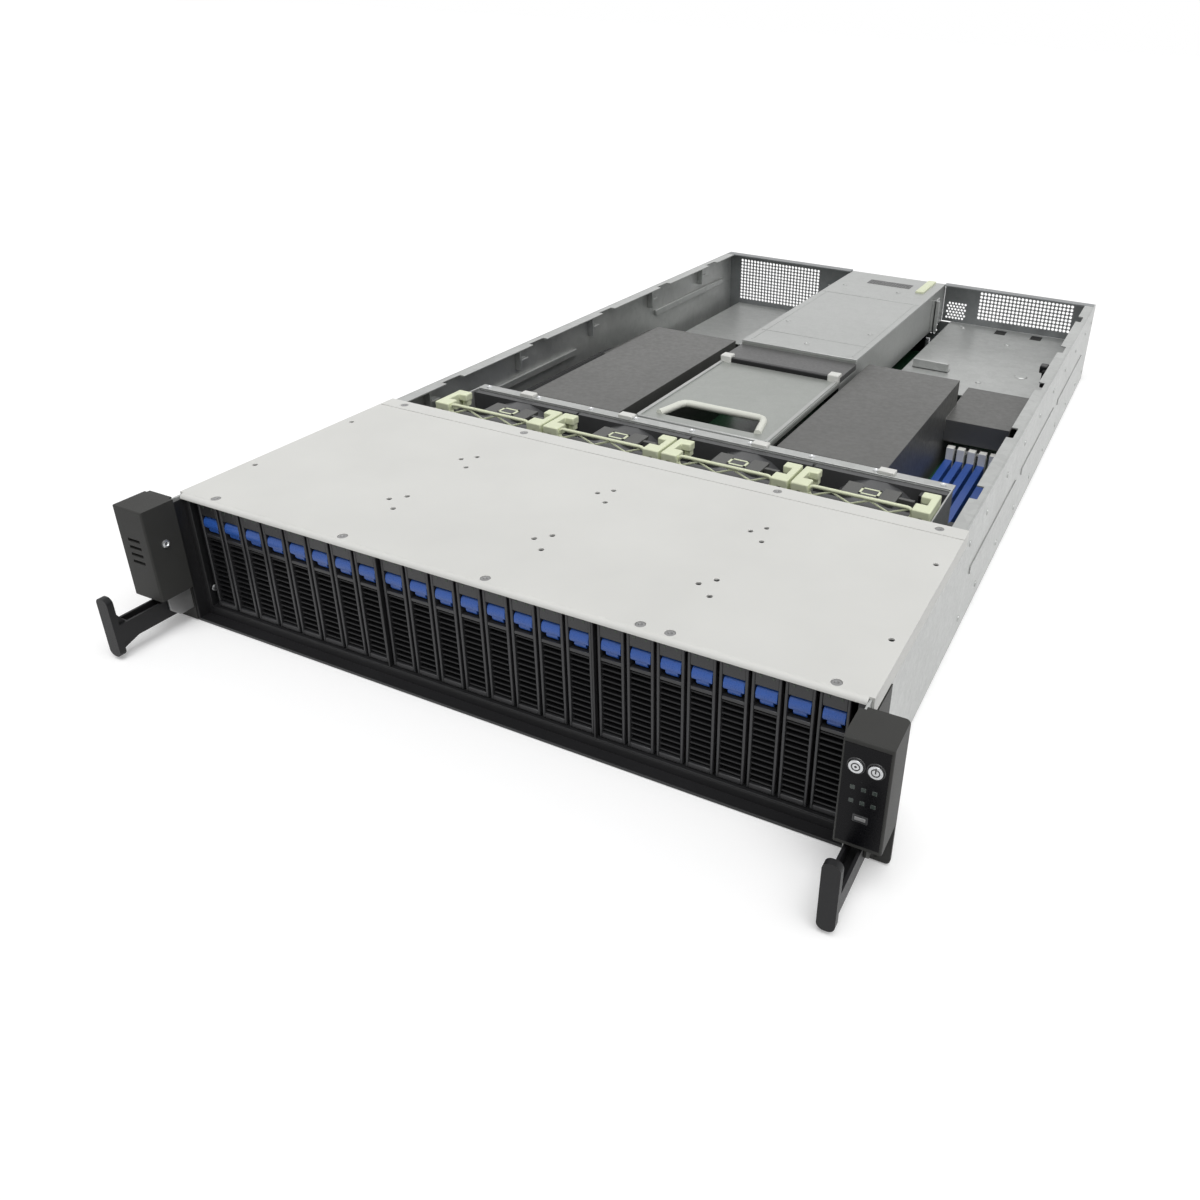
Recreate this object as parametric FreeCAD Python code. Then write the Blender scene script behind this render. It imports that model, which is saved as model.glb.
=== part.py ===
import FreeCAD, Part
import math
import os

# 2U rack server with its rear lid lifted off and its release levers pulled out.
# Frame: +X to the right seen from the front, +Y to the rear, +Z up.
# Origin: middle of the underside, in the plane where the rack ears meet the rack posts.

os.makedirs("parts", exist_ok=True)
V = FreeCAD.Vector

# Enclosure
rack_width = 482.6
ear_extension = 19.3
body_width = rack_width - 2 * ear_extension
sheet = 1.2
body_height = 87.5
body_depth = 800.0
base_front = -1.0
bend_radius = 2.4
running_gap = 0.3
shaft_gap = 0.08
side_gap = 0.5

# Front cover
cover_front = 4.0
cover_length = 190.0
cover_roll = 3.0
cover_skirt = 11.0
hem_width = 14.0
hem_groove = 0.5

# Top flange of the side walls
wall_flange = 9.0
notch_count = 5
notch_length = 22.0
notch_depth = 5.0

# Rack ears
rack_hole_inset = 8.75
rack_hole_rise = 76.2
rack_hole_radius = 3.4
ear_sheet = 2.0
ear_arm_length = 40.0
ear_arm_height = 72.0
ear_overhang = 4.5
ear_depth = 22.0
ear_bottom = 26.0
ear_wall = 1.6
ear_corner = 1.2
cheek_slope = 6.0
cheek_setback = 6.0
flange_corner = 2.5
vent_slots = 4

# Release levers
lever_offset = 5.0
lever_width = 9.0
lever_arm_bottom = 11.0
lever_arm_height = 12.0
lever_reach = 26.0
lever_tail = 18.0
lever_wall = 1.6
paddle_height = 40.0
paddle_bottom = 2.0
paddle_thickness = 4.0
paddle_corner = 3.8

# Front buttons
button_radius = 3.4
button_length = 7.0
button_proud = 1.2
button_pitch = 9.2
button_sides = 24
button_height = 73.0
vent_slot_low = 50.0
vent_slot_pitch = 5.0

# Drive bay
bays_per_group = 8
group_count = 3
group_extra = 1.8
row_slack = 6.0
carrier_gap = 1.7
carrier_height = 75.0
carrier_bottom = 8.5
carrier_face = 8.0
bezel_depth = 12.0
bezel_rim = 1.7
sled_length = 93.0
sled_inset = 0.8
louvre_count = 5
louvre_height = 6.2
louvre_web = 3.3
louvre_depth = 5.0
louvre_fall = 1.0
louvre_sill = 3.7
latch_height = 10.5
latch_drop = 7.0
cage_sheet = 1.2
cage_side_gap = 3.6
cage_front = 6.0

# Backplane
backplane_thickness = 2.5
backplane_gap = 3.0
connector_height = 30.0
connector_width = 5.0
backplane_windows = 6
backplane_window_height = 22.0

# Fan row
fan_count = 4
fan_row_gap = 24.6
fan_front = 212.0
fan_depth = 50.0
fan_height = 76.0
fan_bore = 36.0
fan_shell = 1.6
shroud_sides = 20
motor_sides = 12
rotor_setback = 12.0
fan_flange = 5.0
fan_tray_height = 80.0
rotor_blades = 7
rotor_hub = 17.0
rotor_depth = 20.0
rotor_tip_gap = 1.5
shaft_radius = 2.5
strut_width = 4.0
bail_bar = 3.0
bail_reach = 5.0
bail_rise = 5.5
grip_length = 26.0
grip_width = 11.0
bail_ribs = 4
bail_drop = 11.0
tray_lead = 6.0
tray_flange = 9.0
tray_post = 22.0
tray_rail = 5.0
divider_height = 60.0
spider_sheet = 2.0

# Motherboard
board_thickness = 1.6
board_lift = 6.0
board_front = 282.0
board_side_gap = 7.6
board_bay_gap = 4.0
standoff_inset = 12.0
standoff_radius = 3.4
chipset_side = 50.0
chipset_offset = 12.0
chipset_lead = 80.0
lead_plug_length = 12.0
lead_plug_width = 9.6
chipset_height = 12.0
right_dimm_count = 6
left_dimm_count = 4
dimm_pitch = 9.4
dimm_gap = 9.0
dimm_length = 142.0
dimm_front = 315.0
dimm_socket_width = 6.4
dimm_socket_height = 9.0
clip_height = 20.0
clip_length = 7.0
sink_side_gap = 7.5
sink_foot = 8.0
sink_length = 106.0
sink_height = 54.0
sink_fins = 12
fin_thickness = 1.2
sink_front = 330.0

# Air ducts
right_duct_gap = 4.5
left_duct_gap = 17.0
right_memory_lane = 76.6
left_memory_lane = 58.1
duct_front = 283.0
duct_rear_gap = 53.0
duct_top = 75.0
duct_wall = 1.5
right_wing_width = 56.0
left_wing_width = 40.0
wing_overlap = 40.0
wing_top = 52.0
wing_curtain = 20.0

# Riser unit
riser_width = 113.0
bracket_width = 34.5
riser_cage_gap = 11.4
riser_lid_front = 479.0
step_length = 43.0
riser_top = 85.0
riser_bottom = 42.0
baffle_top = 81.0
baffle_edge = 5.0
tray_front = 276.0
tray_top = 78.0
tray_rim = 5.0
slot_margin = 14.5
slot_taper = 7.0
slot_depth = 30.0
slot_inset = 15.0
slot_corner = 5.0
card_thickness = 1.6
riser_slot_offsets = (-13.0, 27.0)
slot_rear_gap = 160.0
slot_length = 90.0
slot_width = 8.0
deck_lead = 60.0
slot_height = 11.0
leg_width = 8.0
leg_setback = 8.0
cover_window = 13.0
cover_margin = 6.0
cover_drop = 4.0

# Power supplies
psu_width = 73.5
psu_height = 40.0
psu_length = 185.0
psu_count = 2
psu_fan_radius = 17.0
psu_fan_depth = 20.0
psu_fan_sides = 20
psu_fan_inset = 4.0
inlet_inset = 20.0
inlet_width = 26.0
inlet_height = 19.0
inlet_depth = 16.0
inlet_drop = 7.0
inlet_pin_pitch = 7.0
psu_hub = 7.0
psu_blades = 5
psu_shaft_radius = 1.6
psu_handle_reach = 18.0
psu_handle_bar = 3.0
psu_cage_lead = 59.0
psu_cage_gap = 2.1
latch_length = 12.0
latch_thickness = 2.2
latch_tall = 14.0
latch_pin = 1.2

# Rear panel
slot_hole_width = 6.2
slot_hole_pitch = 9.0
field_margin = 8.0
field_edge = 3.0
bracket_field_width = 28.0
bay_field_left = 26.0
bay_field_right = 19.0
screw_strip = 18.0
thumbscrew_inset = 11.6
thumbscrew_reach = 15.0
thumbscrew_radius = 5.0
thumbscrew_length = 8.0
thumbscrew_sides = 12
panel_ledge = 12.0
port_proud = 1.5
port_depth = 20.0
port_wall = 1.0
mouth_depth = 9.0
plinth_depth = 5.0
bay_cover_top = 25.0
bay_cover_left_gap = 13.6
bay_cover_lead = 6.0

# Cable bundles
cable_radius = 3.4
cable_sides = 8
cable_count = 3
cable_low = 28.0
cable_pitch = 9.2
cable_end_inset = 18.0
cable_end_pitch = 12.0
cable_end_lead = 34.0

# Places worked out from the sizes above
wall_out = body_width / 2 - sheet
wall_in = wall_out - sheet
wall_top = body_height - sheet
rack_hole_span = rack_width - 2 * rack_hole_inset
lever_center = body_width / 2 + lever_offset
cage_half = wall_in - cage_side_gap
bay_count = bays_per_group * group_count
row_width = 2 * (cage_half - cage_sheet) - (group_count - 1) * group_extra - row_slack
drive_pitch = row_width / bay_count
carrier_width = drive_pitch - carrier_gap
fan_pitch = 2 * (wall_in - fan_row_gap) / fan_count
board_half = wall_in - board_side_gap
slot_front = body_depth - slot_rear_gap
bay_cover_front = slot_front
bay_cover_left = -wall_in + bay_cover_left_gap
louvre_pitch = louvre_height + louvre_web
psu_cage_right = wall_in - psu_cage_gap
psu_cage_front = body_depth - psu_length - psu_cage_lead
bay_width = psu_width + 2 * side_gap
psu_cage_left = psu_cage_right - psu_count * bay_width - (psu_count + 1) * sheet
riser_right = psu_cage_left - riser_cage_gap
riser_left = riser_right - riser_width
riser_center = (riser_left + riser_right) / 2
board_cutout = bracket_width - riser_left
bay_cover_right = -board_cutout - board_bay_gap
board_step = psu_cage_front - 4
duct_rear = psu_cage_front - duct_rear_gap
wing_front = duct_rear - wing_overlap
cover_rear = cover_front + cover_length
carrier_top = carrier_bottom + carrier_height
sled_rear = carrier_face + bezel_depth + sled_length
backplane_front = sled_rear + backplane_gap
fan_rear = fan_front + fan_depth
tray_floor = 2 * sheet
fan_bottom = tray_floor + running_gap
fan_axis = fan_bottom + fan_height / 2
module_width = fan_pitch - sheet - 2 * side_gap
board_top = sheet + board_lift + board_thickness
riser_slots = [riser_center + offset for offset in riser_slot_offsets]
baffle_front = riser_lid_front - step_length
right_duct_start = riser_right + right_duct_gap
left_duct_start = left_duct_gap - riser_left
right_duct_width = wall_in - right_memory_lane - right_duct_start
left_duct_width = wall_in - left_memory_lane - left_duct_start
psu_bottom = sheet + running_gap
psu_ceiling = psu_bottom + psu_height + running_gap
panel_front = body_depth - sheet
ear_front = -ear_sheet - ear_depth
ear_inside = body_width / 2 - ear_overhang
ear_outside = rack_width / 2


def box(x0, x1, y0, y1, z0, z1):
    return Part.makeBox(x1 - x0, y1 - y0, z1 - z0, V(x0, y0, z0))


def rod(start, direction, radius, length):
    return Part.makeCylinder(radius, length, V(*start), V(*direction))


def prism(points, sweep):
    """A straight solid on a flat outline."""
    corners = [V(*point) for point in points]
    wire = Part.makePolygon(corners + [corners[0]])
    return Part.Face(wire).extrude(V(*sweep))


def drum(middle, radius, length, sides):
    """Many-sided prism round an axis along +Y, a flat side towards +Z."""
    reach = radius / math.cos(math.pi / sides)
    corners = []
    for index in range(sides):
        turn = 2 * math.pi * (index + 0.5) / sides
        corners.append((middle[0] + reach * math.sin(turn), middle[1], middle[2] + reach * math.cos(turn)))
    return prism(corners, (0, length, 0))


def joined(shapes):
    """One solid from pieces that touch or overlap."""
    result = shapes[0].fuse(shapes[1:])
    return result.removeSplitter()


def edges_along(shape, axis, picks):
    """Straight edges along an axis whose middle passes the test."""
    found = []
    for edge in shape.Edges:
        if len(edge.Vertexes) != 2:
            continue
        run = edge.Vertexes[1].Point - edge.Vertexes[0].Point
        size = [abs(run.x), abs(run.y), abs(run.z)]
        if size[axis] > 0.99 * run.Length and picks(edge.CenterOfMass):
            found.append(edge)
    return found


def mirrored(shape):
    return shape.mirror(V(0, 0, 0), V(1, 0, 0))


def save(name, *solids):
    shape = solids[0] if len(solids) == 1 else Part.makeCompound(list(solids))
    shape.exportStep(f"parts/{name}.step")


# Enclosure ---------------------------------------------------------------

def chassis_base():
    outer = box(-wall_out, wall_out, base_front, body_depth, 0, wall_top)
    bottom = edges_along(outer, 1, lambda p: p.z < sheet)
    outer = outer.makeFillet(bend_radius, bottom)
    inner = box(-wall_in, wall_in, base_front - 1, body_depth + 1, sheet, body_height)
    bottom = edges_along(inner, 1, lambda p: p.z < 2 * sheet)
    inner = inner.makeFillet(bend_radius - sheet, bottom)
    shell = outer.cut(inner)
    start = cover_rear + side_gap
    finish = body_depth - panel_ledge - side_gap
    run = finish - start
    flange = box(wall_in - wall_flange, wall_in, start, finish, wall_top - sheet, wall_top)
    pitch = run / notch_count
    tools = []
    for index in range(notch_count):
        middle = start + (index + 0.5) * pitch
        edge = wall_in - wall_flange
        tools.append(
            box(edge - 1, edge + notch_depth, middle - notch_length / 2, middle + notch_length / 2,
                wall_top - 2 * sheet, wall_top + 1)
        )
    flange = flange.cut(tools)
    save("chassis_base", shell, flange, mirrored(flange))


def front_cover():
    top = body_height
    inner_roll = cover_roll - sheet
    turn = math.sqrt(0.5)
    roll_y = cover_front + cover_roll
    roll_z = top - cover_roll
    half = wall_in - running_gap
    x = -half
    outer_arc = Part.Arc(
        V(x, cover_front, roll_z),
        V(x, roll_y - cover_roll * turn, roll_z + cover_roll * turn),
        V(x, roll_y, top),
    )
    inner_arc = Part.Arc(
        V(x, roll_y, top - sheet),
        V(x, roll_y - inner_roll * turn, roll_z + inner_roll * turn),
        V(x, cover_front + sheet, roll_z),
    )
    edges = [
        outer_arc.toShape(),
        Part.LineSegment(V(x, roll_y, top), V(x, cover_rear, top)).toShape(),
        Part.LineSegment(V(x, cover_rear, top), V(x, cover_rear, top - sheet)).toShape(),
        Part.LineSegment(V(x, cover_rear, top - sheet), V(x, roll_y, top - sheet)).toShape(),
        inner_arc.toShape(),
        Part.LineSegment(V(x, cover_front + sheet, roll_z), V(x, cover_front, roll_z)).toShape(),
    ]
    sheet_body = Part.Face(Part.Wire(edges)).extrude(V(2 * half, 0, 0))
    plate = box(-body_width / 2, body_width / 2, roll_y, cover_rear, top - sheet, top)
    skirt = box(wall_out, body_width / 2, roll_y, cover_rear, top - cover_skirt, top)
    body = joined([sheet_body, plate, skirt, mirrored(skirt)])
    hem = cover_rear - hem_width
    groove = box(-wall_in, wall_in, hem, hem + 1, top - hem_groove, top + 1)
    save("front_cover", body.cut(groove))


def slot_holes(x0, x1, z0, z1):
    """Cutting bars for a row of upright vent slots through the rear panel."""
    columns = int((x1 - x0) / slot_hole_pitch)
    start_x = (x0 + x1 - (columns - 1) * slot_hole_pitch) / 2
    half = slot_hole_width / 2
    bars = []
    for column in range(columns):
        x = start_x + column * slot_hole_pitch
        bars.append(box(x - half, x + half, panel_front - 1, body_depth + 1, z0, z1))
    return bars


def rear_ports():
    """Port name, middle in x, middle in z, width and height of each socket."""
    rows = [
        ("serial", 30.9, 14.5, 17.0, 9.0),
        ("display", 64.9, 15.5, 31.0, 12.0),
        ("network_a", 101.9, 31.0, 16.0, 13.0),
        ("usb_upper", 101.9, 20.5, 14.5, 6.0),
        ("usb_lower", 101.9, 12.6, 14.5, 6.0),
        ("network_b", 124.9, 31.0, 16.0, 13.0),
        ("network_c", 124.9, 16.0, 16.0, 13.0),
    ]
    return [(name, psu_cage_left - left, z, width, height) for name, left, z, width, height in rows]


def bay_span(index):
    """Left and right side of a power supply's bay, counted from the right."""
    right = psu_cage_right - sheet - index * (bay_width + sheet)
    return right - bay_width, right


def rear_panel():
    """Plates left of, below and right of the riser's gap, and a ledge for the rear lid."""
    gap_left = riser_left - side_gap
    gap_right = riser_right + side_gap
    gap_low = riser_bottom - side_gap
    bays_left, _ = bay_span(psu_count - 1)
    _, bays_right = bay_span(0)
    low = psu_ceiling + sheet
    top = wall_top

    def plate(x0, x1, z0, z1, cuts=()):
        body = box(x0, x1, panel_front, body_depth, z0, z1)
        return body.cut(list(cuts)) if cuts else body

    def rounded(body):
        corner = edges_along(body, 1, lambda p: p.z < 2 * sheet and abs(p.x) > wall_in - 1)
        return body.makeFillet(bend_radius, corner)

    ports = []
    for _, x, z, width, height in rear_ports():
        half_w = width / 2 + side_gap
        half_h = height / 2 + side_gap
        ports.append(box(x - half_w, x + half_w, panel_front - 1, body_depth + 1, z - half_h, z + half_h))
    high = top - field_margin
    below_screws = wall_top - screw_strip
    left_field = slot_holes(bay_cover_left, bay_cover_right, bay_cover_top + field_edge, high)
    bracket_field = slot_holes(
        -board_cutout + field_edge, gap_left - field_edge, gap_low + field_edge, below_screws
    )
    bracket_right = gap_right + bracket_field_width
    right_field = slot_holes(gap_right, bracket_right, low + field_edge, below_screws)
    right_field += slot_holes(bays_left + bay_field_left, wall_in - bay_field_right, low + field_edge, high)
    solids = [
        rounded(plate(-wall_in, -board_cutout, sheet, top, left_field)),
        plate(-board_cutout, bays_left, sheet, gap_low, ports),
        plate(-board_cutout, gap_left, gap_low, top, bracket_field),
        plate(gap_right, wall_in, low, top, right_field),
        rounded(plate(bays_right, wall_in, sheet, low)),
    ]
    for index in range(psu_count - 1):
        left, _ = bay_span(index)
        solids.append(plate(left - sheet, left, sheet, low))
    front = body_depth - panel_ledge
    for x0, x1 in ((-wall_in, gap_left), (gap_right, wall_in)):
        solids.append(box(x0, x1, front, panel_front, top - sheet, top))
    save("rear_panel", *solids, *thumbscrews())


def thumbscrews():
    """Captive screws that hold the rear lid and the slot brackets."""
    screws = []
    for x in (wall_in - thumbscrew_inset, riser_right + thumbscrew_reach, riser_left - thumbscrew_reach):
        z = wall_top - field_margin
        screws.append(drum((x, body_depth, z), thumbscrew_radius, thumbscrew_length, thumbscrew_sides))
    return screws


def expansion_bay_cover():
    """Low shroud over the rear left expansion card, open to the front."""
    left = bay_cover_left
    right = bay_cover_right
    front = bay_cover_front
    rear = panel_front
    outer = box(left, right, front, rear, sheet, bay_cover_top)
    inner = box(left + sheet, right - sheet, front - 1, rear + 1, 0, bay_cover_top - sheet)
    save("expansion_bay_cover", outer.cut(inner))


# Rack ears and levers ----------------------------------------------------

def ear_bracket():
    """Flange that bolts to the rack post, with the arm riveted to the side wall."""
    flange = box(body_width / 2 - sheet, ear_outside, -ear_sheet, 0, 0.5, body_height - 0.5)
    arm = box(wall_out, body_width / 2, -ear_sheet / 2, ear_arm_length, 2, 2 + ear_arm_height)
    corner = edges_along(flange, 1, lambda p: p.x > ear_outside - 1)
    flange = flange.makeFillet(flange_corner, corner)
    middle = body_height / 2
    x = rack_hole_span / 2
    cuts = []
    for side in (-1, 1):
        z = middle + side * rack_hole_rise / 2
        cuts.append(rod((x, -ear_sheet - 1, z), (0, 1, 0), rack_hole_radius, ear_sheet + 2))
    half = lever_width / 2 + side_gap
    cuts.append(
        box(lever_center - half, lever_center + half, -ear_sheet - 1, 1,
            lever_arm_bottom - side_gap, lever_arm_bottom + lever_arm_height + side_gap)
    )
    return joined([flange, arm]).cut(cuts)


def ear_shell():
    """Moulded box in front of the flange, open towards the flange."""
    top = body_height - 0.5
    shell = box(ear_inside, ear_outside, ear_front, -ear_sheet, ear_bottom, top)
    front_edges = edges_along(shell, 2, lambda p: p.y < ear_front + 1)
    front_edges += edges_along(shell, 0, lambda p: p.y < ear_front + 1 and p.z > top - 1)
    shell = shell.makeFillet(ear_corner, front_edges)
    cavity = box(
        ear_inside + ear_wall, ear_outside - ear_wall, ear_front + ear_wall, 0,
        ear_bottom + ear_wall, top - ear_wall,
    )
    return shell.cut(cavity)


def lever_guides():
    """Two steel cheeks on the flange that the lever's arm runs between."""
    half = lever_width / 2 + running_gap
    reach = ear_depth - cheek_setback
    low = lever_arm_bottom - 1
    cheeks = []
    for x0 in (lever_center - half - sheet, lever_center + half):
        outline = [
            (x0, -ear_sheet, low), (x0, -ear_sheet, ear_bottom), (x0, -ear_sheet - reach, ear_bottom),
            (x0, -ear_sheet - reach, low + cheek_slope), (x0, -ear_sheet - reach + cheek_slope, low),
        ]
        cheeks.append(prism(outline, (sheet, 0, 0)))
    return cheeks


def button_spots():
    middle = (ear_inside + ear_outside) / 2
    return [middle - button_pitch / 2, middle + button_pitch / 2]


def ears():
    """Both ears. The right one carries the buttons, the left one a small vent."""
    shell = ear_shell()
    holes = []
    for x in button_spots():
        holes.append(
            drum((x, ear_front - 1, button_height), button_radius + running_gap, ear_wall + 2, button_sides)
        )
    right = shell.cut(holes)
    middle = (ear_inside + ear_outside) / 2
    slots = []
    for index in range(vent_slots):
        z = vent_slot_low + vent_slot_pitch * index
        slots.append(box(middle - 5, middle + 5, ear_front - 1, ear_front + ear_wall + 1, z, z + 2))
    left = shell.cut(slots)
    save("right_ear", ear_bracket(), right, *lever_guides())
    save("left_ear", *[mirrored(part) for part in (ear_bracket(), left, *lever_guides())])


def front_buttons():
    for name, x in zip(("id_button", "power_button"), button_spots()):
        face = ear_front - button_proud
        save(name, drum((x, face, button_height), button_radius, button_length, button_sides))


def release_lever():
    """T-shaped pull: rounded paddle, flared web and a channel arm with a hooked tail."""
    x0 = lever_center - lever_width / 2
    low = lever_arm_bottom
    high = low + lever_arm_height
    back = ear_front - lever_reach
    face = back - paddle_thickness
    tail = back + lever_reach + lever_tail
    arm = box(x0, x0 + lever_width, back, tail, low, high)
    channel = box(x0 + lever_wall, x0 + lever_width - lever_wall, back + 6, tail + 1,
                  low + lever_wall, high + 1)
    arm = arm.cut(channel)
    paddle = box(x0, x0 + lever_width, face, back, paddle_bottom, paddle_bottom + paddle_height)
    ends = edges_along(paddle, 1, lambda p: True)
    paddle = paddle.makeFillet(paddle_corner, ends)
    web_x = x0 + lever_wall
    web_low = prism(
        [(web_x, back - 1, paddle_bottom + 4), (web_x, back, paddle_bottom + 4), (web_x, back + 14, low),
         (web_x, back + 14, low + 1), (web_x, back - 1, low + 1)],
        (lever_width - 2 * lever_wall, 0, 0),
    )
    web_high = prism(
        [(web_x, back - 1, low + 1), (web_x, back + 5, low + 1), (web_x, back + 5, high),
         (web_x, back, high + 8), (web_x, back - 1, high + 8)],
        (lever_width - 2 * lever_wall, 0, 0),
    )
    return joined([arm, paddle, web_low, web_high])


def release_levers():
    lever = release_lever()
    save("right_release_lever", lever)
    save("left_release_lever", mirrored(lever))


# Drives ------------------------------------------------------------------

def drive_centers():
    """Middle of each carrier, left to right, with a wider gap between groups."""
    span = (bay_count - 1) * drive_pitch + (group_count - 1) * group_extra
    centers = []
    for index in range(bay_count):
        group = index // bays_per_group
        centers.append(index * drive_pitch + group * group_extra - span / 2)
    return centers


def louvre_cuts():
    """One deep slot per louvre, falling towards the front."""
    half = carrier_width / 2 - bezel_rim
    face = carrier_face
    depth = louvre_depth
    cuts = []
    for index in range(louvre_count):
        low = carrier_bottom + louvre_sill + louvre_web / 2 + index * louvre_pitch
        high = low + louvre_height
        outline = [
            (-half, face - 1, low), (-half, face, low), (-half, face + depth, low + louvre_fall),
            (-half, face + depth, high + louvre_fall), (-half, face, high), (-half, face - 1, high),
        ]
        cuts.append(prism(outline, (2 * half, 0, 0)))
    return cuts


def carrier():
    """Louvred bezel with the drive and its side rails behind it."""
    half = carrier_width / 2
    rear = carrier_face + bezel_depth
    bezel = box(-half, half, carrier_face, rear, carrier_bottom, carrier_top)
    pocket_top = carrier_top - latch_drop + 1
    pocket_low = carrier_top - latch_drop - latch_height - 1
    pocket = box(-half + bezel_rim, half - bezel_rim, carrier_face - 1, carrier_face + 4,
                 pocket_low, pocket_top)
    bezel = bezel.cut([pocket] + louvre_cuts())
    sled = box(-half + sled_inset, half - sled_inset, rear, sled_rear,
               carrier_bottom + 2, carrier_top - 2)
    shoe = box(-half + sled_inset, half - sled_inset, rear, rear + 60,
               carrier_bottom, carrier_bottom + 2)
    return joined([bezel, sled, shoe])


def carrier_latch():
    """Squeeze tab that leans back into the pocket of the bezel."""
    half = carrier_width / 2 - bezel_rim - running_gap
    high = carrier_top - latch_drop
    low = high - latch_height
    seat = carrier_face + 4
    return prism(
        [(-half, seat, low), (-half, carrier_face + 1.6, low), (-half, carrier_face + 0.4, low + 2),
         (-half, carrier_face + 0.6, high - 4), (-half, carrier_face + 2.4, high), (-half, seat, high)],
        (2 * half, 0, 0),
    )


def drives():
    body = carrier()
    latch = carrier_latch()
    for number, x in enumerate(drive_centers(), start=1):
        move = V(x, 0, 0)
        save(f"drive_carrier_{number:02d}", body.translated(move), latch.translated(move))


def drive_cage():
    """Sheet cage with ledges above and below the carriers and a divider between groups."""
    low = carrier_bottom - running_gap
    high = carrier_top + running_gap
    rear = backplane_front
    inner = cage_half - cage_sheet
    solids = [
        box(-inner, inner, cage_front, rear, low - cage_sheet, low),
        box(-cage_half, cage_half, cage_front, rear, high, high + cage_sheet),
        box(-inner, inner, cage_front, cage_front + cage_sheet, sheet, low - cage_sheet),
        box(-cage_half, -inner, cage_front, rear, sheet, high),
        box(inner, cage_half, cage_front, rear, sheet, high),
    ]
    centers = drive_centers()
    for group in range(1, group_count):
        last = group * bays_per_group
        x = (centers[last - 1] + centers[last]) / 2
        solids.append(box(x - cage_sheet / 2, x + cage_sheet / 2, cage_front, rear, low, high))
    save("drive_cage", *solids)


def backplane():
    """Board behind the drives, with a connector for each and windows for air."""
    low = sheet
    high = carrier_top
    rear = backplane_front + backplane_thickness
    board = box(-cage_half, cage_half, backplane_front, rear, low, high)
    spacing = 2 * (cage_half - 10) / backplane_windows
    windows = []
    for index in range(backplane_windows):
        x = -cage_half + 10 + index * spacing
        windows.append(
            box(x + 5, x + spacing - 5, backplane_front - 1, rear + 1,
                high - 6 - backplane_window_height, high - 6)
        )
    sockets = []
    socket_low = carrier_bottom + 6
    for x in drive_centers():
        sockets.append(
            box(x - connector_width / 2, x + connector_width / 2, sled_rear + running_gap,
                backplane_front, socket_low, socket_low + connector_height)
        )
    save("backplane", board.cut(windows), *sockets)


# Fans --------------------------------------------------------------------

def fan_centers():
    return [(index - (fan_count - 1) / 2) * fan_pitch for index in range(fan_count)]


def fan_tray():
    """Cradle with a bay for each fan, open behind each one, and a rail along the top."""
    half = fan_count * fan_pitch / 2 + sheet / 2
    rear = fan_rear + side_gap
    front = fan_front - tray_lead
    back = rear + tray_flange
    top = fan_tray_height
    rail_low = top - sheet - tray_rail
    solids = [
        box(-half, half, front, back, sheet, tray_floor),
        box(-half, half, rear, back, top - sheet, top),
        box(-half, half, rear, rear + sheet, rail_low, top - sheet),
    ]
    for index in range(fan_count + 1):
        x = (index - fan_count / 2) * fan_pitch
        height = top if index in (0, fan_count) else divider_height
        left = max(x - tray_post / 2, -half)
        right = min(x + tray_post / 2, half)
        solids.append(box(x - sheet / 2, x + sheet / 2, front, rear, tray_floor, height))
        solids.append(box(left, right, rear, rear + sheet, tray_floor, rail_low))
    save("fan_tray", *solids)


def fan_housing():
    """Round shroud between two square end frames."""
    half = module_width / 2
    top = fan_bottom + fan_height
    rear = fan_rear - spider_sheet
    shroud = drum((0, fan_front, fan_axis), fan_bore + fan_shell, rear - fan_front, shroud_sides)
    frames = []
    for y in (fan_front, rear - fan_flange):
        frames.append(box(-half, half, y, y + fan_flange, fan_bottom, top))
    keel = box(-half, half, fan_front, rear, fan_bottom, fan_bottom + 3)
    bore = drum((0, fan_front - 1, fan_axis), fan_bore, fan_depth + 2, shroud_sides)
    return joined([shroud] + frames + [keel]).cut(bore)


def fan_spider():
    """Motor and shaft on four arms across the rear frame."""
    half = module_width / 2
    top = fan_bottom + fan_height
    seat = fan_front + rotor_setback + rotor_depth
    rear = fan_rear - spider_sheet
    w = strut_width / 2
    face = seat + running_gap
    motor = drum((0, face, fan_axis), rotor_hub, fan_rear - face, motor_sides)
    shaft = rod((0, seat - rotor_depth * 0.6, fan_axis), (0, 1, 0), shaft_radius, rotor_depth * 0.6 + 2)
    arms = [
        box(-half + 1, half - 1, rear, fan_rear, fan_axis - w, fan_axis + w),
        box(-w, w, rear, fan_rear, fan_bottom + 1, top - 1),
    ]
    return joined([motor, shaft] + arms)


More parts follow.
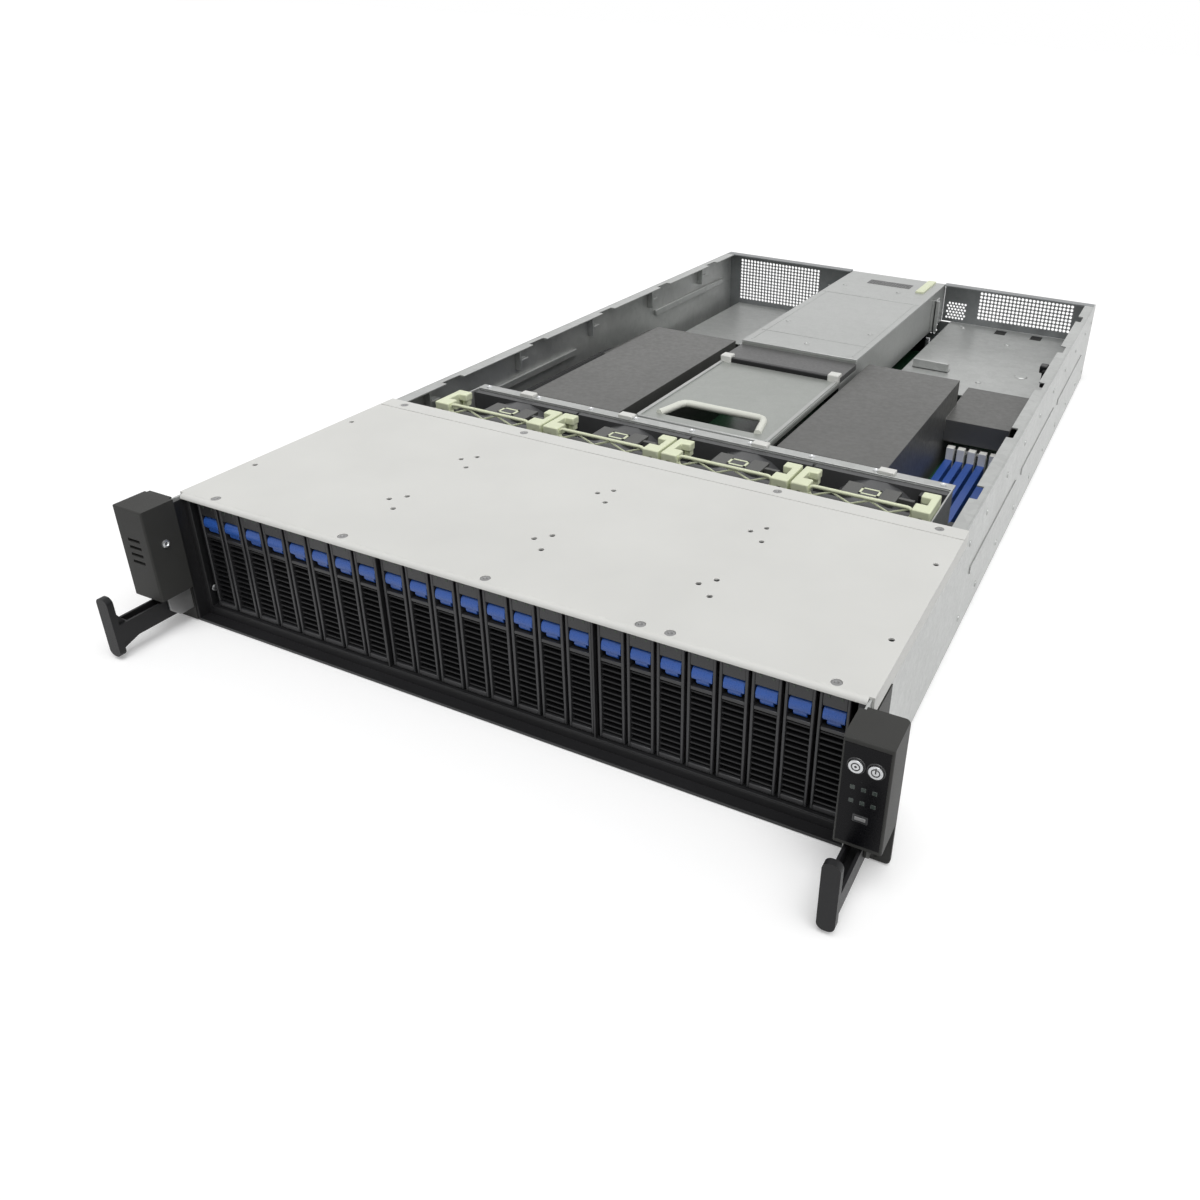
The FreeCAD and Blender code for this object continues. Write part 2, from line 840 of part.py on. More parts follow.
def fan_bail():
    """Lift-out handle: a bar along the front, two hooked grips and legs down the sides."""
    half = module_width / 2
    top = fan_bottom + fan_height
    bar_half = half - 6
    front = fan_front - bail_reach
    z0 = top - 3
    z1 = z0 + bail_bar
    bar = box(-bar_half, bar_half, front, front + bail_bar, z0, z1)
    low_bar = box(-bar_half, bar_half, front, front + bail_bar, z0 - bail_drop, z0 - bail_drop + 2)
    parts = [bar, low_bar]
    step = 2 * bar_half / bail_ribs
    foot = z0 - bail_drop + 1.5
    for index in range(bail_ribs):
        x = -bar_half + index * step
        rise = (foot, z0 + 0.5) if index % 2 == 0 else (z0 + 0.5, foot)
        parts.append(
            prism(
                [(x, front + 0.5, rise[0] - 0.8), (x + step, front + 0.5, rise[1] - 0.8),
                 (x + step, front + 0.5, rise[1] + 0.8), (x, front + 0.5, rise[0] + 0.8)],
                (0, bail_bar - 1, 0),
            )
        )
    for side in (-1, 1):
        inner = side * bar_half
        outer = side * half
        stem = min(inner, inner + side * bail_bar)
        parts.append(box(stem, stem + bail_bar, front, fan_front, z0 - bail_drop, z1))
        corner = box(min(inner, outer), max(inner, outer), front, fan_front, z1 - 1, top + bail_rise)
        grip_x = outer - grip_width if side > 0 else outer
        grip = box(grip_x, grip_x + grip_width, fan_front, fan_front + grip_length, top, top + bail_rise)
        eye = box(grip_x + 3, grip_x + grip_width - 3, fan_front + 9, fan_front + grip_length - 4,
                  top - 1, top + bail_rise + 1)
        parts += [corner, grip.cut(eye)]
    return joined(parts)


def blades(radius, hub, count, width, depth, pitch_deg, root_y):
    """Flat pitched blades round a hub on the Y axis through the origin."""
    shapes = []
    tip = math.sqrt(radius ** 2 - (width / 2) ** 2) - 0.5
    for index in range(count):
        blade = box(-width / 2, width / 2, root_y + depth / 2 - 0.7, root_y + depth / 2 + 0.7,
                    hub - 3.0, tip)
        blade.rotate(V(0, root_y + depth / 2, 0), V(0, 0, 1), pitch_deg)
        blade.rotate(V(0, 0, 0), V(0, 1, 0), index * 360.0 / count)
        shapes.append(blade)
    return shapes


def fan_rotor():
    """Hub with a shaft bore and seven pitched blades."""
    front = fan_front + rotor_setback
    hub = drum((0, front, 0), rotor_hub, rotor_depth, 2 * rotor_blades)
    bore_start = front + rotor_depth * 0.4 - running_gap
    bore = rod((0, bore_start, 0), (0, 1, 0), shaft_radius + shaft_gap, rotor_depth)
    wings = blades(fan_bore - rotor_tip_gap, rotor_hub, rotor_blades, 24.0, rotor_depth, 35.0, front)
    rotor = joined([hub] + wings).cut(bore)
    return rotor.translated(V(0, 0, fan_axis))


def fans():
    housing = fan_housing()
    spider = fan_spider()
    bail = fan_bail()
    rotor = fan_rotor()
    for number, x in enumerate(fan_centers(), start=1):
        move = V(x, 0, 0)
        save(f"fan_module_{number}", *[part.translated(move) for part in (housing, spider, bail)])
        save(f"fan_rotor_{number}", rotor.translated(move))


# Motherboard -------------------------------------------------------------

def cable_end(row):
    """Where a lead meets its connector on the board."""
    x = -board_half + cable_end_inset + row * cable_end_pitch
    return x, bay_cover_front - cable_end_lead, board_top + cable_radius + sheet


def standoff(x, y):
    """Hexagonal post between the floor and the board."""
    corners = []
    for index in range(6):
        turn = math.radians(60 * index)
        corners.append((x + standoff_radius * math.cos(turn), y + standoff_radius * math.sin(turn), sheet))
    return prism(corners, (0, 0, board_lift))


def motherboard():
    """Board cut back round the power supplies and the rear left bay, on standoffs."""
    rear = panel_front - 2
    low = sheet + board_lift
    step_x = psu_cage_left - side_gap
    bay_front = bay_cover_front - bay_cover_lead
    outline = [
        (-board_half, board_front, low), (board_half, board_front, low),
        (board_half, board_step, low), (step_x, board_step, low), (step_x, rear, low),
        (-board_cutout, rear, low), (-board_cutout, bay_front, low), (-board_half, bay_front, low),
    ]
    solids = [prism(outline, (0, 0, board_thickness))]
    outer = board_half - standoff_inset
    for x in (-outer, riser_left, step_x - standoff_inset, outer):
        for y in (board_front + standoff_inset, (board_front + board_step) / 2, board_step - standoff_inset):
            solids.append(standoff(x, y))
    chipset_front = slot_front - chipset_lead
    chipset_left = riser_center - chipset_offset - chipset_side / 2
    solids.append(
        box(chipset_left, chipset_left + chipset_side, chipset_front, chipset_front + chipset_side,
            board_top, board_top + chipset_height)
    )
    half = slot_width / 2
    for x in riser_slots:
        solids.append(
            box(x - half, x + half, slot_front, slot_front + slot_length, board_top, board_top + slot_height)
        )
    for row in range(cable_count):
        x, y, z = cable_end(row)
        wide = lead_plug_width / 2
        solids.append(box(x - wide, x + wide, y, y + lead_plug_length, board_top, z + cable_radius + 1))
    save("motherboard", *solids)


def io_ports():
    """Connector shells that reach through the rear panel from a plinth on the board."""
    front = body_depth - port_depth
    rows = rear_ports()
    left = min(x - width / 2 for _, x, _, width, _ in rows) - side_gap
    right = max(x + width / 2 for _, x, _, width, _ in rows) + side_gap
    high = max(z + height / 2 for _, _, z, _, height in rows) + side_gap
    solids = [box(left, right, front - plinth_depth, front, board_top, high)]
    rear = body_depth + port_proud
    for _, x, z, width, height in rows:
        x0 = x - width / 2
        low = z - height / 2
        shell = box(x0, x0 + width, front, rear, low, low + height)
        mouth = box(x0 + port_wall, x0 + width - port_wall, rear - mouth_depth, rear + 1,
                    low + port_wall, low + height - port_wall)
        solids.append(shell.cut(mouth))
    save("io_ports", *solids)


def dimm_sockets():
    sockets = []
    half = dimm_socket_width / 2
    banks = (
        (1, wall_in - right_memory_lane + dimm_gap, right_dimm_count),
        (-1, wall_in - left_memory_lane + dimm_gap, left_dimm_count),
    )
    for side, first, count in banks:
        for index in range(count):
            x = side * (first + index * dimm_pitch)
            top = board_top + dimm_socket_height
            rear = dimm_front + dimm_length
            sockets.append(box(x - half, x + half, dimm_front, rear, board_top, top))
            for y in (dimm_front - clip_length, rear):
                clip = box(x - half, x + half, y, y + clip_length, board_top, board_top + clip_height)
                sockets.append(clip)
    save("dimm_sockets", *sockets)


def heatsink(start, width):
    """Finned block between the walls of a duct."""
    x0 = start + sink_side_gap
    x1 = start + width - sink_side_gap
    rear = sink_front + sink_length
    foot = board_top + sink_foot
    sink = [box(x0, x1, sink_front, rear, board_top, foot)]
    step = (x1 - x0 - fin_thickness) / (sink_fins - 1)
    for index in range(sink_fins):
        x = x0 + index * step
        sink.append(box(x, x + fin_thickness, sink_front, rear, foot, board_top + sink_height))
    return sink


def heatsinks():
    right = heatsink(right_duct_start, right_duct_width)
    left = heatsink(left_duct_start, left_duct_width)
    save("heatsinks", *right, *[mirrored(part) for part in left])


def air_duct(start, width, wing_width):
    """Open-ended tunnel over a processor, with a lower wing over the memory beside it."""
    x0 = start
    x1 = start + width
    low = board_top + running_gap
    rear = duct_rear
    outer = box(x0, x1, duct_front, rear, low, duct_top)
    inner = box(x0 + duct_wall, x1 - duct_wall, duct_front - 1, rear + 1, low - 1, duct_top - duct_wall)
    wing_rear = psu_cage_front - side_gap
    wing = box(x1 - duct_wall, x1 + wing_width, wing_front, wing_rear, wing_top - duct_wall, wing_top)
    curtain = box(x1 - duct_wall, x1 + wing_width, wing_front, wing_front + duct_wall,
                  wing_top - wing_curtain, wing_top)
    spine = box(x1 - duct_wall, x1, rear - 1, wing_rear, low, wing_top)
    return joined([outer.cut(inner), wing, curtain, spine])


def air_ducts():
    save("right_air_duct", air_duct(right_duct_start, right_duct_width, right_wing_width))
    save("left_air_duct", mirrored(air_duct(left_duct_start, left_duct_width, left_wing_width)))


# Riser unit --------------------------------------------------------------

def riser_handle_slot():
    """Trapezoid hand hole near the front of the riser's tray."""
    near = tray_front + slot_inset
    far = near + slot_depth
    low = tray_top - tray_rim - 1
    tall = tray_rim + 2
    left = riser_left + slot_margin
    right = riser_right - slot_margin
    outline = [
        (left, near, low), (right, near, low), (right - slot_taper, far, low), (left + slot_taper, far, low),
    ]
    slot = prism(outline, (0, 0, tall))
    return slot.makeFillet(slot_corner, edges_along(slot, 2, lambda p: True))


def riser_shell():
    """Handle tray, step plate, lid, side walls and rear slot covers."""
    left = riser_left
    right = riser_right
    rim_low = tray_top - tray_rim
    rim_high = tray_top - sheet
    lid_low = riser_top - sheet
    lid_front = riser_lid_front
    step_low = baffle_top - baffle_edge
    tray = box(left, right, tray_front, baffle_front, rim_high, tray_top).cut(riser_handle_slot())
    solids = [
        tray,
        box(left, right, tray_front, tray_front + sheet, rim_low, rim_high),
        box(left, right, baffle_front, lid_front, step_low, baffle_top),
        box(left, right, lid_front, panel_front, lid_low, riser_top),
        box(left + sheet, right - sheet, lid_front, lid_front + sheet, baffle_top - 1, lid_low),
        box(left + sheet, right - sheet, panel_front - sheet, panel_front, riser_bottom, lid_low),
        box(left + sheet, right - sheet, slot_front - deck_lead, panel_front - sheet,
            riser_bottom, riser_bottom + sheet),
    ]
    for x in (left, right - sheet):
        solids.append(box(x, x + sheet, tray_front + sheet, baffle_front, rim_low, rim_high))
        outline = [
            (x, baffle_front, riser_bottom), (x, panel_front, riser_bottom), (x, panel_front, lid_low),
            (x, lid_front, lid_low), (x, lid_front, step_low), (x, baffle_front, step_low),
        ]
        solids.append(prism(outline, (sheet, 0, 0)))
    for x in (left + sheet, right - leg_width):
        front = tray_front + leg_setback
        solids.append(box(x, x + leg_width - sheet, front, front + sheet, board_top + running_gap, rim_high))
    covers = box(left, right, panel_front, body_depth, riser_bottom, riser_top - cover_drop)
    step = (riser_top - cover_drop - riser_bottom) / 2
    windows = []
    x0 = left + cover_margin
    x1 = right - cover_margin
    for z in (riser_bottom + cover_drop, riser_bottom + cover_drop + step):
        windows.append(box(x0, x1, panel_front - 1, body_depth + 1, z, z + cover_window))
    solids.append(covers.cut(windows))
    return solids


def riser_boards():
    """Boards that hang from the deck and plug into the slots below it."""
    boards = []
    for x in riser_slots:
        low = board_top + slot_height + running_gap
        boards.append(
            box(x - card_thickness / 2, x + card_thickness / 2, slot_front + 4, slot_front + slot_length - 4,
                low, riser_bottom)
        )
    return boards


def riser():
    save("riser_unit", *riser_shell(), *riser_boards())


# Power supplies ----------------------------------------------------------

def psu_cage():
    """Deck above the power supplies with a wall on each side of every bay."""
    left = psu_cage_left
    right = psu_cage_right
    solids = [box(left, right, psu_cage_front, panel_front, psu_ceiling, psu_ceiling + sheet)]
    for index in range(psu_count + 1):
        x = right - sheet - index * (bay_width + sheet)
        solids.append(box(x, x + sheet, psu_cage_front, panel_front, sheet, psu_ceiling))
    save("psu_cage", *solids)


def psu_fan_spot(index):
    """Middle of a supply's fan in x and z."""
    _, right = bay_span(index)
    return right - side_gap - psu_fan_radius - psu_fan_inset, psu_bottom + psu_height / 2


def psu_body(index):
    left, right = bay_span(index)
    left += side_gap
    right -= side_gap
    low = psu_bottom
    high = low + psu_height
    front = body_depth - psu_length
    can = box(left, right, front, body_depth, low, high)
    fan_x, fan_z = psu_fan_spot(index)
    pocket = drum((fan_x, body_depth - psu_fan_depth, fan_z), psu_fan_radius + 1, psu_fan_depth + 1,
                  psu_fan_sides)
    inlet_x = left + inlet_inset
    wide = inlet_width / 2
    roof = high - inlet_drop
    inlet_front = body_depth - inlet_depth
    inlet = box(inlet_x - wide, inlet_x + wide, inlet_front, body_depth + 1, roof - inlet_height, roof)
    pins = []
    for dx in (-inlet_pin_pitch, 0, inlet_pin_pitch):
        x = inlet_x + dx
        middle = roof - inlet_height / 2
        pins.append(box(x - 1, x + 1, inlet_front, inlet_front + 12, middle - 2.5, middle + 2.5))
    stub = rod((fan_x, body_depth - psu_fan_depth, fan_z), (0, 1, 0), psu_shaft_radius, psu_fan_depth * 0.7)
    edge = box(left + 10, right - 12, front - 8, front, low + 9, low + 9 + card_thickness)
    lugs = []
    for z in (low + 2, low + 2 + latch_tall + 2):
        lugs.append(box(left + 0.4, left + 5, body_depth, body_depth + 5, z, z + 2 - 2 * running_gap))
    return joined([can.cut([pocket, inlet]), stub, edge] + pins + lugs)


def psu_handle(index):
    """Loop over the fan, fixed at the right side and by the fan's left edge."""
    _, right = bay_span(index)
    right -= side_gap
    left = right - 2 * psu_fan_radius - 9
    low = psu_bottom + 3
    high = psu_bottom + 9
    y0 = body_depth
    y1 = body_depth + psu_handle_reach
    bar = psu_handle_bar
    loop = box(left, right - 1, y0, y1, low, high)
    gap = box(left + bar, right - 1 - bar, y0 - 1, y1 - bar, low - 1, high + 1)
    loop = loop.makeFillet(4, edges_along(loop, 2, lambda p: p.y > y1 - 1))
    return loop.cut(gap)


def psu_rotor(index):
    fan_x, fan_z = psu_fan_spot(index)
    front = body_depth - psu_fan_depth + 4
    depth = psu_fan_depth - 6
    hub = drum((0, front, 0), psu_hub, depth, 2 * psu_blades)
    bore = rod((0, front - 1, 0), (0, 1, 0), psu_shaft_radius + shaft_gap, depth * 0.8)
    wings = blades(psu_fan_radius, psu_hub, psu_blades, 12.0, depth, 35.0, front)
    return joined([hub] + wings).cut(bore).translated(V(fan_x, 0, fan_z))


def psu_latch(index):
    """Thumb lever on an upright pin at the supply's inner edge."""
    left, _ = bay_span(index)
    x = left + side_gap + 2.8
    y = body_depth + 2.5
    low = psu_bottom + 4
    pin = rod((x, y, low), (0, 0, 1), latch_pin + 0.8, latch_tall)
    tab = box(x - latch_thickness / 2, x + latch_thickness / 2, y, y + latch_length, low, low + latch_tall)
    lip = box(x - latch_thickness / 2, x + latch_thickness / 2 + 3, y + latch_length - 2, y + latch_length,
              low, low + latch_tall)
    return joined([pin, tab, lip])


def power_supplies():
    for index in range(psu_count):
        number = index + 1
        save(f"psu_{number}", psu_body(index), psu_handle(index))
        save(f"psu_fan_rotor_{number}", psu_rotor(index))
        save(f"psu_latch_{number}", psu_latch(index))


# Cables ------------------------------------------------------------------

def bent_tube(points, radius):
    """Eight-sided tube of straight runs joined by tangent arcs as large as the runs allow."""
    corners = [V(*point) for point in points]
    face = drum(corners[0], radius, 1, cable_sides).Faces
    face = min(face, key=lambda side: side.CenterOfMass.y)
    start = corners[0]
    pieces = []
    for before, corner, after in zip(corners, corners[1:], corners[2:]):
        into = (corner - before).normalize()
        out = (after - corner).normalize()
        turn = into.getAngle(out)
        back = 0.45 * min((corner - before).Length, (after - corner).Length)
        bend = back / math.tan(turn / 2)
        first = corner - into * back
        pieces.append(face.extrude(first - start))
        face = face.translated(first - start)
        axis = into.cross(out).normalize()
        center = first + axis.cross(into) * bend
        pieces.append(face.revolve(center, axis, math.degrees(turn)))
        face = face.rotated(center, axis, math.degrees(turn))
        start = corner + out * back
    pieces.append(face.extrude(corners[-1] - start))
    return joined(pieces)


def cable_bundle():
    """Three leads from the backplane along the left wall to the board."""
    leads = []
    start = backplane_front + backplane_thickness
    lane = -(fan_count * fan_pitch / 2 + wall_in) / 2
    for row in range(cable_count):
        z = cable_low + row * cable_pitch
        x, y, end_z = cable_end(row)
        first = start + 0.8 * (y - start)
        second = start + 0.93 * (y - start)
        corners = [(lane, start, z), (lane, first, z), (x, second, end_z), (x, y, end_z)]
        leads.append(bent_tube(corners, cable_radius))
    save("cable_bundle", *leads)


chassis_base()
front_cover()
rear_panel()
expansion_bay_cover()
ears()
front_buttons()
release_levers()
drives()
drive_cage()
backplane()
fan_tray()
fans()
motherboard()
io_ports()
dimm_sockets()
heatsinks()
air_ducts()
riser()
psu_cage()
power_supplies()
cable_bundle()
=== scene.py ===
import math

import bmesh
import bpy
from mathutils import Matrix, Vector
from mathutils.geometry import delaunay_2d_cdt

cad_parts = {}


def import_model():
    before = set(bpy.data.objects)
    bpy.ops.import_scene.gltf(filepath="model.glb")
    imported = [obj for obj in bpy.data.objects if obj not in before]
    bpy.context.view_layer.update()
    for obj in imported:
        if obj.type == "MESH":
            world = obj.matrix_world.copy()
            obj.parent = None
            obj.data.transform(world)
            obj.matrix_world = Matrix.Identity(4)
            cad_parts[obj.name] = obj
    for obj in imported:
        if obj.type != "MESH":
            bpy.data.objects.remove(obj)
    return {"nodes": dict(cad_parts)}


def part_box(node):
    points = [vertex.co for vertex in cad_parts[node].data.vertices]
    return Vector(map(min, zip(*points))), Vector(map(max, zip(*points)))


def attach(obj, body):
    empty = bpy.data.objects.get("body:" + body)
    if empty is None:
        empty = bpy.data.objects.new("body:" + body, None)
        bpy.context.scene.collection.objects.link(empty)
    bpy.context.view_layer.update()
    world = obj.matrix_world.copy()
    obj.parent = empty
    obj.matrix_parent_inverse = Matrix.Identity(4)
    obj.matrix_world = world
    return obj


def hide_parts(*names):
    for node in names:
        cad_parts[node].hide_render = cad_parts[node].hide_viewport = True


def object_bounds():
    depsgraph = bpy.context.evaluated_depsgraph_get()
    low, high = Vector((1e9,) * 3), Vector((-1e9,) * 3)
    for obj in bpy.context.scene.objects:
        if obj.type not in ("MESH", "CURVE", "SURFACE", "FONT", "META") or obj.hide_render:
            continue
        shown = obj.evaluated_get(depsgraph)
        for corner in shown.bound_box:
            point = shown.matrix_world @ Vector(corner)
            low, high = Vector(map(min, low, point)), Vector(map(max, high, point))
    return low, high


# 2U rack server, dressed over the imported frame. Lengths are millimetres until they reach
# a mesh. The stage and the camera are in metres.

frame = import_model()
CAD_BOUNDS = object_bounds()
MM = 0.001


def size(node):
    """Lowest and highest corners of a CAD node at rest, in millimetres."""
    low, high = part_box(node)
    return [round(v / MM, 4) for v in low], [round(v / MM, 4) for v in high]


def middle(node):
    """Centre of a CAD node's box at rest, in millimetres."""
    return [(a + b) / 2 for a, b in zip(*size(node))]


SHEET = 1.2
WALL, BACK, _ = size("chassis_base")[1]     # outer face of the side walls, rear face of the case
PANEL_FRONT = BACK - SHEET
DECK = size("psu_cage")[1][2]
BOARD_TOP = size("heatsinks")[0][2]
UP, REARWARD = (0, 0, 1), (0, 1, 0)


# --- Materials ---

class Tree:
    """A small helper around one material's node tree."""

    def __init__(self, name):
        self.mat = bpy.data.materials.new(name)
        self.mat.use_nodes = True
        self.tree = self.mat.node_tree
        self.shader = self.tree.nodes["Principled BSDF"]
        self.coords = self.add("ShaderNodeTexCoord").outputs["Object"]

    def add(self, kind, inputs=None, **values):
        node = self.tree.nodes.new(kind)
        for key, value in values.items():
            setattr(node, key, value)
        for key, value in (inputs or {}).items():
            node.inputs[key].default_value = value
        return node

    def link(self, out, socket):
        self.tree.links.new(out, socket)

    def scaled(self, stretch):
        node = self.add("ShaderNodeMapping", {"Scale": stretch})
        self.link(self.coords, node.inputs["Vector"])
        return node.outputs["Vector"]

    def noise(self, scale, detail=3.0, stretch=(1, 1, 1)):
        node = self.add("ShaderNodeTexNoise", {"Scale": scale, "Detail": detail})
        self.link(self.scaled(stretch), node.inputs["Vector"])
        return node.outputs["Fac"]

    def cells(self, scale):
        node = self.add("ShaderNodeTexVoronoi", {"Scale": scale})
        self.link(self.coords, node.inputs["Vector"])
        split = self.add("ShaderNodeSeparateColor")
        self.link(node.outputs["Color"], split.inputs["Color"])
        return split.outputs["Red"]

    def range(self, out, low, high, start=0.3, end=0.7):
        node = self.add("ShaderNodeMapRange", {
            "From Min": start, "From Max": end, "To Min": low, "To Max": high})
        self.link(out, node.inputs["Value"])
        return node.outputs["Result"]

    def blend(self, out, dark, light, start=0.3, end=0.7):
        node = self.add("ShaderNodeValToRGB")
        self.link(out, node.inputs["Fac"])
        first, last = node.color_ramp.elements
        first.position, last.position = start, end
        first.color = (*dark, 1)
        last.color = (*light, 1)
        return node.outputs["Color"]

    def bump(self, out, depth):
        node = self.add("ShaderNodeBump", {"Distance": depth * MM, "Strength": 1.0})
        self.link(out, node.inputs["Height"])
        self.link(node.outputs["Normal"], self.shader.inputs["Normal"])


def shade(color, factor):
    return tuple(min(1.0, c * factor) for c in color)


def coat(name, color, rough, metal, swing, grain, depth, stretch=(1, 1, 1), spangle=0.0,
         specular=0.5):
    """Painted, moulded or plated surface: slow and fine colour drift, grain and gloss drift."""
    t = Tree(name)
    slow = t.noise(14.0, 4.0)
    base = t.blend(slow, shade(color, 1 - swing), shade(color, 1 + swing))
    if spangle:
        mix = t.add("ShaderNodeMix", {"Factor": 1.0}, data_type="RGBA", blend_type="MULTIPLY")
        t.link(base, mix.inputs["A"])
        flakes = t.blend(t.cells(160.0), (1 - spangle,) * 3, (1.0,) * 3, 0.0, 1.0)
        t.link(flakes, mix.inputs["B"])
        base = mix.outputs["Result"]
    t.link(base, t.shader.inputs["Base Color"])
    fine = t.noise(grain, 2.0, stretch)
    t.link(t.range(fine, rough - 0.06, rough + 0.06), t.shader.inputs["Roughness"])
    t.shader.inputs["Metallic"].default_value = metal
    t.shader.inputs["Specular IOR Level"].default_value = specular
    t.bump(fine, depth)
    return t.mat


def sleeve(name, color):
    """Braided sleeve: crossed fine waves."""
    t = Tree(name)
    waves = []
    for direction in ("X", "Z"):
        node = t.add("ShaderNodeTexWave", {"Scale": 420.0, "Distortion": 1.0}, bands_direction=direction)
        t.link(t.coords, node.inputs["Vector"])
        waves.append(node.outputs["Fac"])
    both = t.add("ShaderNodeMath", operation="MULTIPLY")
    t.link(waves[0], both.inputs[0])
    t.link(waves[1], both.inputs[1])
    out = both.outputs["Value"]
    t.link(t.blend(out, shade(color, 0.6), shade(color, 1.6), 0.0, 1.0), t.shader.inputs["Base Color"])
    t.shader.inputs["Roughness"].default_value = 0.55
    t.bump(out, 0.3)
    return t.mat


def circuit(name, color, trace):
    """Solder mask with faint straight traces."""
    t = Tree(name)
    node = t.add("ShaderNodeTexBrick", {
        "Scale": 90.0, "Mortar Size": 0.03, "Color1": (*color, 1), "Color2": (*shade(color, 1.35), 1),
        "Mortar": (*trace, 1)})
    t.link(t.coords, node.inputs["Vector"])
    t.link(node.outputs["Color"], t.shader.inputs["Base Color"])
    t.link(t.range(t.noise(700.0), 0.3, 0.42), t.shader.inputs["Roughness"])
    t.bump(node.outputs["Fac"], 0.04)
    return t.mat


# The numbers after a colour are roughness, metal, colour swing, grain scale and grain depth in mm.
COVER = coat("cover_paint", (0.69, 0.69, 0.665), 0.48, 0.04, 0.03, 1500, 0.015, specular=0.3)
ZINC = coat("galvanised", (0.47, 0.48, 0.47), 0.36, 0.55, 0.05, 500, 0.01, spangle=0.10)
LID = coat("lid_steel", (0.44, 0.45, 0.44), 0.38, 0.40, 0.03, 700, 0.01, spangle=0.05)
TRAY = coat("tray_steel", (0.34, 0.355, 0.335), 0.36, 0.35, 0.05, 700, 0.01, spangle=0.05)
CHEEK = coat("cheek_steel", (0.32, 0.32, 0.32), 0.38, 0.6, 0.12, 500, 0.02, spangle=0.10)
REAR = coat("rear_steel", (0.25, 0.26, 0.265), 0.42, 0.50, 0.06, 600, 0.01, spangle=0.10)
STEP = coat("step_sheet", (0.085, 0.085, 0.085), 0.42, 0.1, 0.06, 500, 0.03)
BLACK_STEEL = coat("black_coat", (0.012, 0.012, 0.013), 0.42, 0.1, 0.25, 1800, 0.03)
BLACK = coat("black_moulding", (0.010, 0.010, 0.011), 0.38, 0.0, 0.2, 2200, 0.02, specular=0.3)
EDGE = coat("carrier_rim", (0.028, 0.028, 0.030), 0.33, 0.0, 0.2, 2000, 0.02)
HANDLE = coat("lever_black", (0.014, 0.014, 0.015), 0.45, 0.05, 0.2, 1200, 0.03, specular=0.25)
EAR = coat("ear_moulding", (0.045, 0.045, 0.043), 0.5, 0.0, 0.15, 2200, 0.04, specular=0.15)
PANEL = coat("ear_panel", (0.004, 0.004, 0.005), 0.30, 0.0, 0.1, 1500, 0.004, specular=0.12)
# Painted shade: a flat deep black that stands in for the shade inside the cover's dimple holes and the
# deck's slots.
HOLE_SHADE = coat("painted_hole_shade", (0.004, 0.004, 0.004), 0.6, 0.0, 0.1, 900, 0.01)
CHIP = coat("chip_case", (0.022, 0.022, 0.024), 0.35, 0.0, 0.15, 1500, 0.01)
FAN_GREY = coat("fan_plastic", (0.055, 0.056, 0.058), 0.45, 0.0, 0.12, 1600, 0.03)
FAN_TOP = coat("fan_top", (0.075, 0.076, 0.072), 0.45, 0.0, 0.10, 1500, 0.02)
DUCT = coat("duct_sheet", (0.082, 0.082, 0.078), 0.40, 0.0, 0.10, 260, 0.05)
PALE = coat("pale_grip", (0.74, 0.78, 0.56), 0.42, 0.0, 0.04, 1200, 0.02)
PALE_RIM = coat("pale_rim", (0.72, 0.73, 0.66), 0.42, 0.0, 0.03, 1200, 0.02)
BLOCK = coat("end_block", (0.70, 0.70, 0.67), 0.4, 0.0, 0.03, 900, 0.02)
CLIP = coat("clip_white", (0.80, 0.80, 0.76), 0.42, 0.0, 0.03, 1500, 0.02)
BLUE = coat("latch_blue", (0.030, 0.115, 0.46), 0.30, 0.0, 0.08, 1500, 0.02)
SOCKET = coat("socket_blue", (0.03, 0.09, 0.36), 0.4, 0.0, 0.08, 1500, 0.02)
KNOB = coat("screw_blue", (0.035, 0.12, 0.50), 0.32, 0.35, 0.06, 900, 0.02)
SILVER = coat("button_silver", (0.62, 0.63, 0.64), 0.28, 0.85, 0.04, 900, 0.01, stretch=(1, 1, 12))
SINK = coat("sink_aluminium", (0.66, 0.67, 0.69), 0.3, 0.9, 0.04, 800, 0.01, stretch=(1, 0.05, 1))
PORT = coat("port_shell", (0.58, 0.59, 0.60), 0.3, 0.85, 0.05, 900, 0.01)
GOLD = coat("contact_gold", (0.62, 0.42, 0.14), 0.25, 0.9, 0.05, 900, 0.005)
LENS = coat("light_window", (0.05, 0.07, 0.05), 0.2, 0.0, 0.05, 900, 0.005)
DIM = coat("dim_lens", (0.035, 0.048, 0.042), 0.25, 0.0, 0.05, 900, 0.005)
GREEN = coat("green_lens", (0.05, 0.32, 0.10), 0.2, 0.0, 0.05, 900, 0.005)
RIBBON = coat("ribbon_brown", (0.16, 0.045, 0.03), 0.5, 0.0, 0.15, 900, 0.05)
BOARD = circuit("solder_mask", (0.012, 0.045, 0.022), (0.03, 0.11, 0.05))
LEAD = sleeve("cable_sleeve", (0.02, 0.02, 0.021))


# --- Outlines and spans ---

def circle(radius, sides, spin=0.0):
    """Points (u, v) of a circle around the origin."""
    turns = [2 * math.pi * (i + spin) / sides for i in range(sides)]
    return [(radius * math.cos(turn), radius * math.sin(turn)) for turn in turns]


def ring(x, y, radius, sides=12):
    """Round hole for a plate."""
    return [(x + u, y + v) for u, v in circle(radius, sides, 0.5)]


def oblong(x0, x1, y0, y1):
    return [(x0, y0), (x1, y0), (x1, y1), (x0, y1)]


def rounded(x0, x1, z0, z1, radius, steps=4):
    """Corners of a rounded rectangle, anticlockwise."""
    points = []
    for cx, cz, start in ((x1 - radius, z1 - radius, 0), (x0 + radius, z1 - radius, 90),
                          (x0 + radius, z0 + radius, 180), (x1 - radius, z0 + radius, 270)):
        for i in range(steps + 1):
            turn = math.radians(start + 90 * i / steps)
            points.append((cx + radius * math.cos(turn), cz + radius * math.sin(turn)))
    return points


